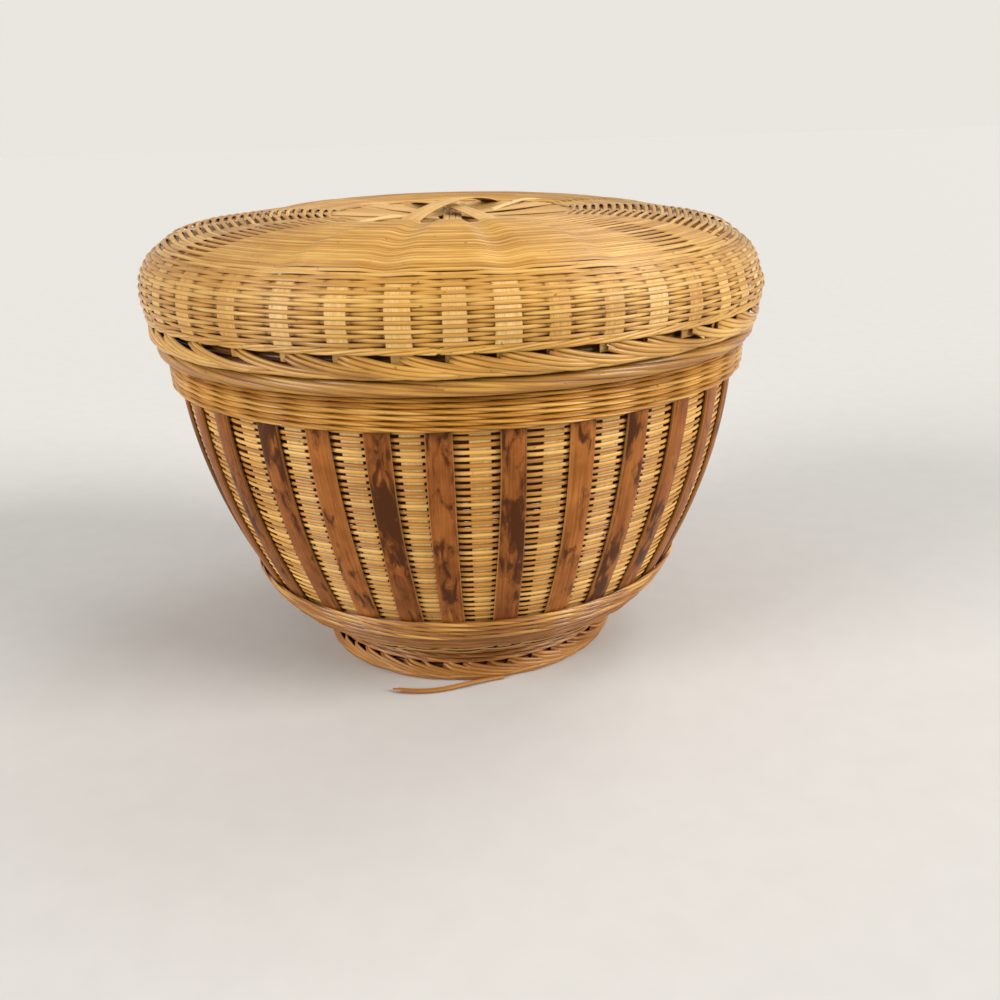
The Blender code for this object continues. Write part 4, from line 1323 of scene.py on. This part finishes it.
def lay_lid_stakes(cane):
    """Flat stakes in the lid's side and shoulder, and arms of strips that run on under the crown's rows."""
    pile = Strands()
    lengths = np.linspace(-STAKE_TAIL, length_at_radius(STAKE_REACH_RADIUS), LID_STAKE_STATIONS)
    radius, height, normal_out, normal_up = lid_at(lengths)
    outline = (radius, height + np.minimum(lengths, 0.0), normal_out, normal_up)
    hidden = smooth_step(lengths, PATCH_LENGTH - PATCH_FADE, PATCH_LENGTH)
    crest = LID_STAKE_CREST - HIDDEN_STAKE_SHADE * hidden
    for degrees in lid_stake_azimuths():
        width = LID_STAKE_WIDTH + LID_STAKE_WIDTH_SPREAD * rng.uniform(-1.0, 1.0)
        lay_under_rows(pile, outline, math.radians(degrees), LID_STAKE_DEPTH, width, "lid_stake", crest)
    lengths = np.linspace(length_at_radius(ARM_REACH_RADIUS), LID_OUTLINE[0][-1], LID_STAKE_STATIONS)
    outline = lid_at(lengths)
    width = (2.0 * arm_half_width(outline[0]) + ARM_STEP) / ARM_STRIPS
    for degrees in arm_azimuths():
        for order in np.arange(ARM_STRIPS) - (ARM_STRIPS - 1) / 2.0:
            azimuths = math.radians(degrees) + order * width / outline[0]
            # The arms are painted near-black in shade, by their low tone and crest share
            lay_under_rows(pile, outline, azimuths, ARM_DEPTH, width * ARM_STRIP_SHARE, "lid_arm", ARM_CREST)
    pile.make("lid_stakes_woven", cane, "lid", "pale_cane", "lid_stakes", bend=lean_lid)


def lay_under_rows(pile, outline, azimuths, depth, width, kind, crest):
    """One flat strip at a depth below the lid's outline."""
    radius, height, normal_out, normal_up = outline
    path = place(azimuths, radius - normal_out * depth, height - normal_up * depth)
    outward = facing_out(azimuths, normal_out, normal_up)
    pile.lay(path, outward, width, STAKE_THICKNESS, STRIP_SECTION, tone_of(kind), crest)


def hub_height(middle, distance):
    """Height in the hub's shallow dish at a distance from its middle, which lies at the given height."""
    rim = LID_SHELL_BOTTOM + LID_SHELL_HEIGHT * HUB_RIM_HEIGHT_SHARE - HUB_RIM_SINK
    return rim + (middle - rim) * (1.0 - np.minimum(distance / HUB_RIM_RADIUS, 1.0) ** HUB_DISH_POWER)


def lay_hub(cane):
    """Straps of the hub: each is a band of strips that cross in the middle and widen towards the weave."""
    travel = np.linspace(-1.0, 1.0, HUB_STATIONS)
    along = travel * HUB_REACH
    straps = zip(HUB_STRAP_AZIMUTHS_DEG, HUB_STRAP_RISES, HUB_FAN_SPREADS)
    for number, (degrees, rise, spread) in enumerate(straps, start=1):
        azimuth = math.radians(degrees)
        fan = 1.0 + spread * travel**2
        height = hub_height(HUB_FLOOR + rise, np.abs(along))
        pile = Strands()
        for order in np.arange(HUB_STRIP_COUNT) - (HUB_STRIP_COUNT - 1) / 2.0:
            across = order * HUB_STRIP_WIDTH * fan
            x = along * math.sin(azimuth) + across * math.cos(azimuth)
            y = -along * math.cos(azimuth) + across * math.sin(azimuth)
            path = np.stack((x, y, height), axis=-1)
            size = (HUB_STRIP_WIDTH * fan * HUB_STRIP_SHARE, HUB_STRIP_THICKNESS)
            pile.lay(path, UP, *size, STRIP_SECTION, tone_of("hub_strap"), HUB_CREST)
        node = f"lid_hub_strap_{number}"
        pile.make(f"hub_strap_{number}_strips", cane, "lid", "pale_cane", node, bend=lean_lid)


def lay_hub_floor(cane):
    """Inner ends of the lid's stakes, which lie side by side under the straps."""
    pile = Strands()
    radii = np.linspace(HUB_CORE_RADIUS, HUB_RIM_RADIUS + HUB_STRIP_WIDTH, HUB_FLOOR_STATIONS)
    width = TURN * radii / HUB_FLOOR_STRIPS * HUB_FLOOR_OVERLAP_SHARE
    for strip in range(HUB_FLOOR_STRIPS):
        sink = HUB_STRIP_THICKNESS * (1.0 - HUB_FLOOR_STAGGER_SHARE * (strip % 2))
        path = place(TURN * strip / HUB_FLOOR_STRIPS, radii, hub_height(HUB_FLOOR, radii) - sink)
        pile.lay(path, UP, width, HUB_STRIP_THICKNESS, STRIP_SECTION, tone_of("hub_floor"), HUB_FLOOR_CREST)
    pile.make("hub_floor_strips", cane, "lid", "pale_cane", "lid_weave", bend=lean_lid)


def lay_hub_ends(cane):
    """Two strips whose ends lie on the rows beside the hub."""
    pile = Strands()
    share = np.linspace(0.0, 1.0, HUB_END_STATIONS)
    for route in HUB_END_ROUTES:
        marks = np.array(route)
        places = np.linspace(0.0, 1.0, len(marks))
        path = np.stack([np.interp(share, places, marks[:, axis]) for axis in range(3)], axis=-1)
        for _ in range(HUB_END_SMOOTHINGS):
            path[1:-1] = (path[:-2] + 2.0 * path[1:-1] + path[2:]) / 4.0
        path[:, 2] += HUB_END_BOW * np.sin(np.pi * share)
        size = (HUB_STRIP_WIDTH, HUB_STRIP_THICKNESS)
        pile.lay(path, HUB_END_FACING, *size, STRIP_SECTION, tone_of("hub_end"), HUB_END_CREST)
    pile.make("hub_loose_strips", cane, "lid", "pale_cane", "lid_weave", bend=lean_lid)


# Base and loose end


def lay_base(cane):
    """Woven floor, wound over and under radial stakes, turned up at its edge to the wall."""
    low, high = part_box("base_weave")
    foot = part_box("foot_wall")[1].x
    rim = high.x
    turn_radius = foot + (rim - foot) * BASE_TURN_SHARES[0]
    turn_height = low.z + (high.z - low.z) * BASE_TURN_SHARES[1]
    corners = ((BASE_CENTRE_RADIUS, low.z), (foot, low.z), (turn_radius, turn_height), (rim, high.z))
    outline = np.array(corners)
    chords = lengths_along(outline)
    total = chords[-1] - BASE_EDGE_GAP
    samples = BASE_STAKES * BASE_SAMPLES
    turns = np.arange(int(total / BASE_ROW_PITCH) * samples) / samples
    azimuths = turns * TURN
    radius = np.interp(turns * BASE_ROW_PITCH, chords, outline[:, 0])
    height = np.interp(turns * BASE_ROW_PITCH, chords, outline[:, 1]) + BASE_RISE
    wave = BASE_ROW_WAVE * np.cos(np.pi * turns * BASE_STAKES)
    steep = smooth_step(radius, foot, rim)
    outward = facing_out(azimuths, steep * BASE_ROW_FACING[0], -1.0 + BASE_ROW_FACING[1] * steep)
    path = place(azimuths, radius, height + wave)
    pile = Strands()
    pile.lay(path, outward, BASE_ROW_WIDTH, BASE_ROW_THICKNESS, LENS_SECTION, *BASE_ROW_LOOK)
    lengths = np.linspace(BASE_STAKE_START, total, BASE_STAKE_STATIONS)
    radius = np.interp(lengths, chords, outline[:, 0]) + np.minimum(lengths, 0)
    height = np.interp(lengths, chords, outline[:, 1]) + BASE_RISE
    width = np.clip(TURN * radius / BASE_STAKES * BASE_STAKE_SHARE, *BASE_STAKE_WIDTHS)
    for azimuth in circle(BASE_STAKES):
        path = place(azimuth, radius, height)
        outward = facing_out(azimuth, BASE_STAKE_FACING, -1.0)
        pile.lay(path, outward, width, BASE_STAKE_THICKNESS, STRIP_SECTION, *BASE_STAKE_LOOK)
    pile.make("base_weave_rows", cane, "basket", "varnished_cane", "base_weave")


def lay_loose_end(cane):
    """Reed end that has sprung out of the foot and lies on the ground in front."""
    share = np.linspace(0.0, 1.0, LOOSE_STATIONS)
    azimuth = np.radians(LOOSE_START_DEG + (LOOSE_TIP_DEG - LOOSE_START_DEG) * share)
    radius = LOOSE_START_RADIUS + (LOOSE_TIP_RADIUS - LOOSE_START_RADIUS) * smooth_step(share, 0.0, 1.0)
    path = place(azimuth, radius, LOOSE_LIFT + LOOSE_WAVE * np.sin(share * LOOSE_WAVES) ** 2)
    taper = 1.0 - LOOSE_SWELL_SHARE * (1.0 - smooth_step(share, 0.0, LOOSE_SWELL_TO))
    taper = taper - LOOSE_TIP_SHARE * smooth_step(share, LOOSE_TIP_FROM, 1.0)
    pile = Strands()
    pile.lay(path, UP, LOOSE_WIDTH * taper, LOOSE_THICKNESS * taper, LENS_SECTION, *LOOSE_LOOK)
    pile.make("loose_reed", cane, "basket", "orange_cane", "loose_reed_end")


# Stage


def add_camera():
    """Camera where the photograph was taken from."""
    across = math.cos(CAMERA_PITCH)
    forward = (math.sin(CAMERA_YAW) * across, math.cos(CAMERA_YAW) * across, -math.sin(CAMERA_PITCH))
    forward = np.array(forward)
    level = unit(np.cross(forward, UP))
    upright = np.cross(level, forward)
    right = level * math.cos(CAMERA_ROLL) + upright * math.sin(CAMERA_ROLL)
    top = upright * math.cos(CAMERA_ROLL) - level * math.sin(CAMERA_ROLL)
    matrix = Matrix.Identity(4)
    for axis in range(3):
        matrix[axis][:] = (right[axis], top[axis], -forward[axis], CAMERA_PLACE[axis])
    data = bpy.data.cameras.new("photo_camera")
    data.lens = CAMERA_LENS_MM
    data.sensor_width = CAMERA_LENS_MM
    camera = bpy.data.objects.new("photo_camera", data)
    camera.matrix_world = matrix
    bpy.context.scene.collection.objects.link(camera)
    bpy.context.scene.camera = camera


def add_floor():
    """Plain pale floor."""
    half = FLOOR_SIZE / 2.0
    mesh = bpy.data.meshes.new("floor")
    corners = [(-half, -half, 0), (half, -half, 0), (half, half, 0), (-half, half, 0)]
    mesh.from_pydata(corners, [], [(0, 1, 2, 3)])
    material, tree, shader = new_material("pale_floor")
    speckle = ramp(tree, place_noise(tree, *FLOOR_SPECKLE), *FLOOR_STOPS)
    tree.links.new(speckle, shader.inputs["Base Color"])
    shader.inputs["Roughness"].default_value = FLOOR_ROUGHNESS
    mesh.materials.append(material)
    floor = bpy.data.objects.new("floor", mesh)
    bpy.context.scene.collection.objects.link(floor)


def add_lights():
    """Soft broad lamps and an even sky, with a plain background for the camera."""
    for name, azimuth, elevation, across, strength in LAMPS:
        data = bpy.data.lights.new(name, "SUN")
        data.angle = math.radians(across)
        data.energy = strength
        data.color = LAMP_COLOUR
        lamp = bpy.data.objects.new(name, data)
        up = math.radians(elevation)
        spot = place(math.radians(azimuth), math.cos(up), math.sin(up))
        lamp.rotation_mode = "QUATERNION"
        lamp.rotation_quaternion = Vector((-spot).tolist()).to_track_quat("-Z", "Y")
        lamp.location = spot.tolist()
        bpy.context.scene.collection.objects.link(lamp)
    world = bpy.data.worlds.new("studio")
    bpy.context.scene.world = world
    world.use_nodes = True
    tree = world.node_tree
    sky = tree.nodes["Background"]
    sky.inputs["Color"].default_value = (*SKY_COLOUR, 1.0)
    sky.inputs["Strength"].default_value = SKY_STRENGTH
    seen = add_node(tree, "ShaderNodeBackground", {"Color": (*BACKGROUND_COLOUR, 1.0), "Strength": 1.0})
    camera_ray = add_node(tree, "ShaderNodeLightPath").outputs["Is Camera Ray"]
    mix = add_node(tree, "ShaderNodeMixShader", {0: camera_ray, 1: sky.outputs[0], 2: seen.outputs[0]})
    tree.links.new(mix.outputs[0], tree.nodes["World Output"].inputs["Surface"])


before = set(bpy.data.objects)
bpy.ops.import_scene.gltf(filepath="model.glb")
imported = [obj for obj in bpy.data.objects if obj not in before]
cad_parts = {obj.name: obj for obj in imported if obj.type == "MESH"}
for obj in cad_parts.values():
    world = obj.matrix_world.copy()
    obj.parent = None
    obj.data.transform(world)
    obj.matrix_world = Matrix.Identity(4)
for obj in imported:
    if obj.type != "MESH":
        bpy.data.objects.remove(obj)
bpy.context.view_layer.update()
LID_OUTLINE = lid_outline()
golden, straw, amber, pale, brown, deep_shade, tan = (cane_material(*look) for look in CANES)
bamboo = bamboo_material()

lay_wall_rows(straw, deep_shade)
lay_wall_stakes(pale)
lay_slats(bamboo)
lay_band("lower_band", amber, over_slats)
lay_band("upper_band", amber, over_slats)
lay_band("foot_wall", brown, lambda _height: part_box("foot_wall")[1].x - BANDS["foot_wall"].depth)
lay_roll(golden)
lay_hoop("base_hoop", brown, "orange_cane", BASE_HOOP_STRIPS)
lay_hoop("collar_hoop", pale, "pale_cane", 1)
lay_braid("lid_braid", golden, "varnished_cane", "lid", LID_BRAID, np.radians(lid_stake_azimuths()))
lay_weave_edge(golden)
lay_cut_ends(pale)
lay_braid("foot_braid", brown, "orange_cane", "basket", FOOT_BRAID, circle(FOOT_BRAID_GROUPS))
lay_lid_weave(golden)
lay_lid_stakes(pale)
lay_hub(tan)
lay_hub_floor(tan)
lay_hub_ends(pale)
lay_base(golden)
lay_loose_end(brown)
add_camera()
add_floor()
add_lights()
bpy.context.scene.view_settings.view_transform = "Standard"
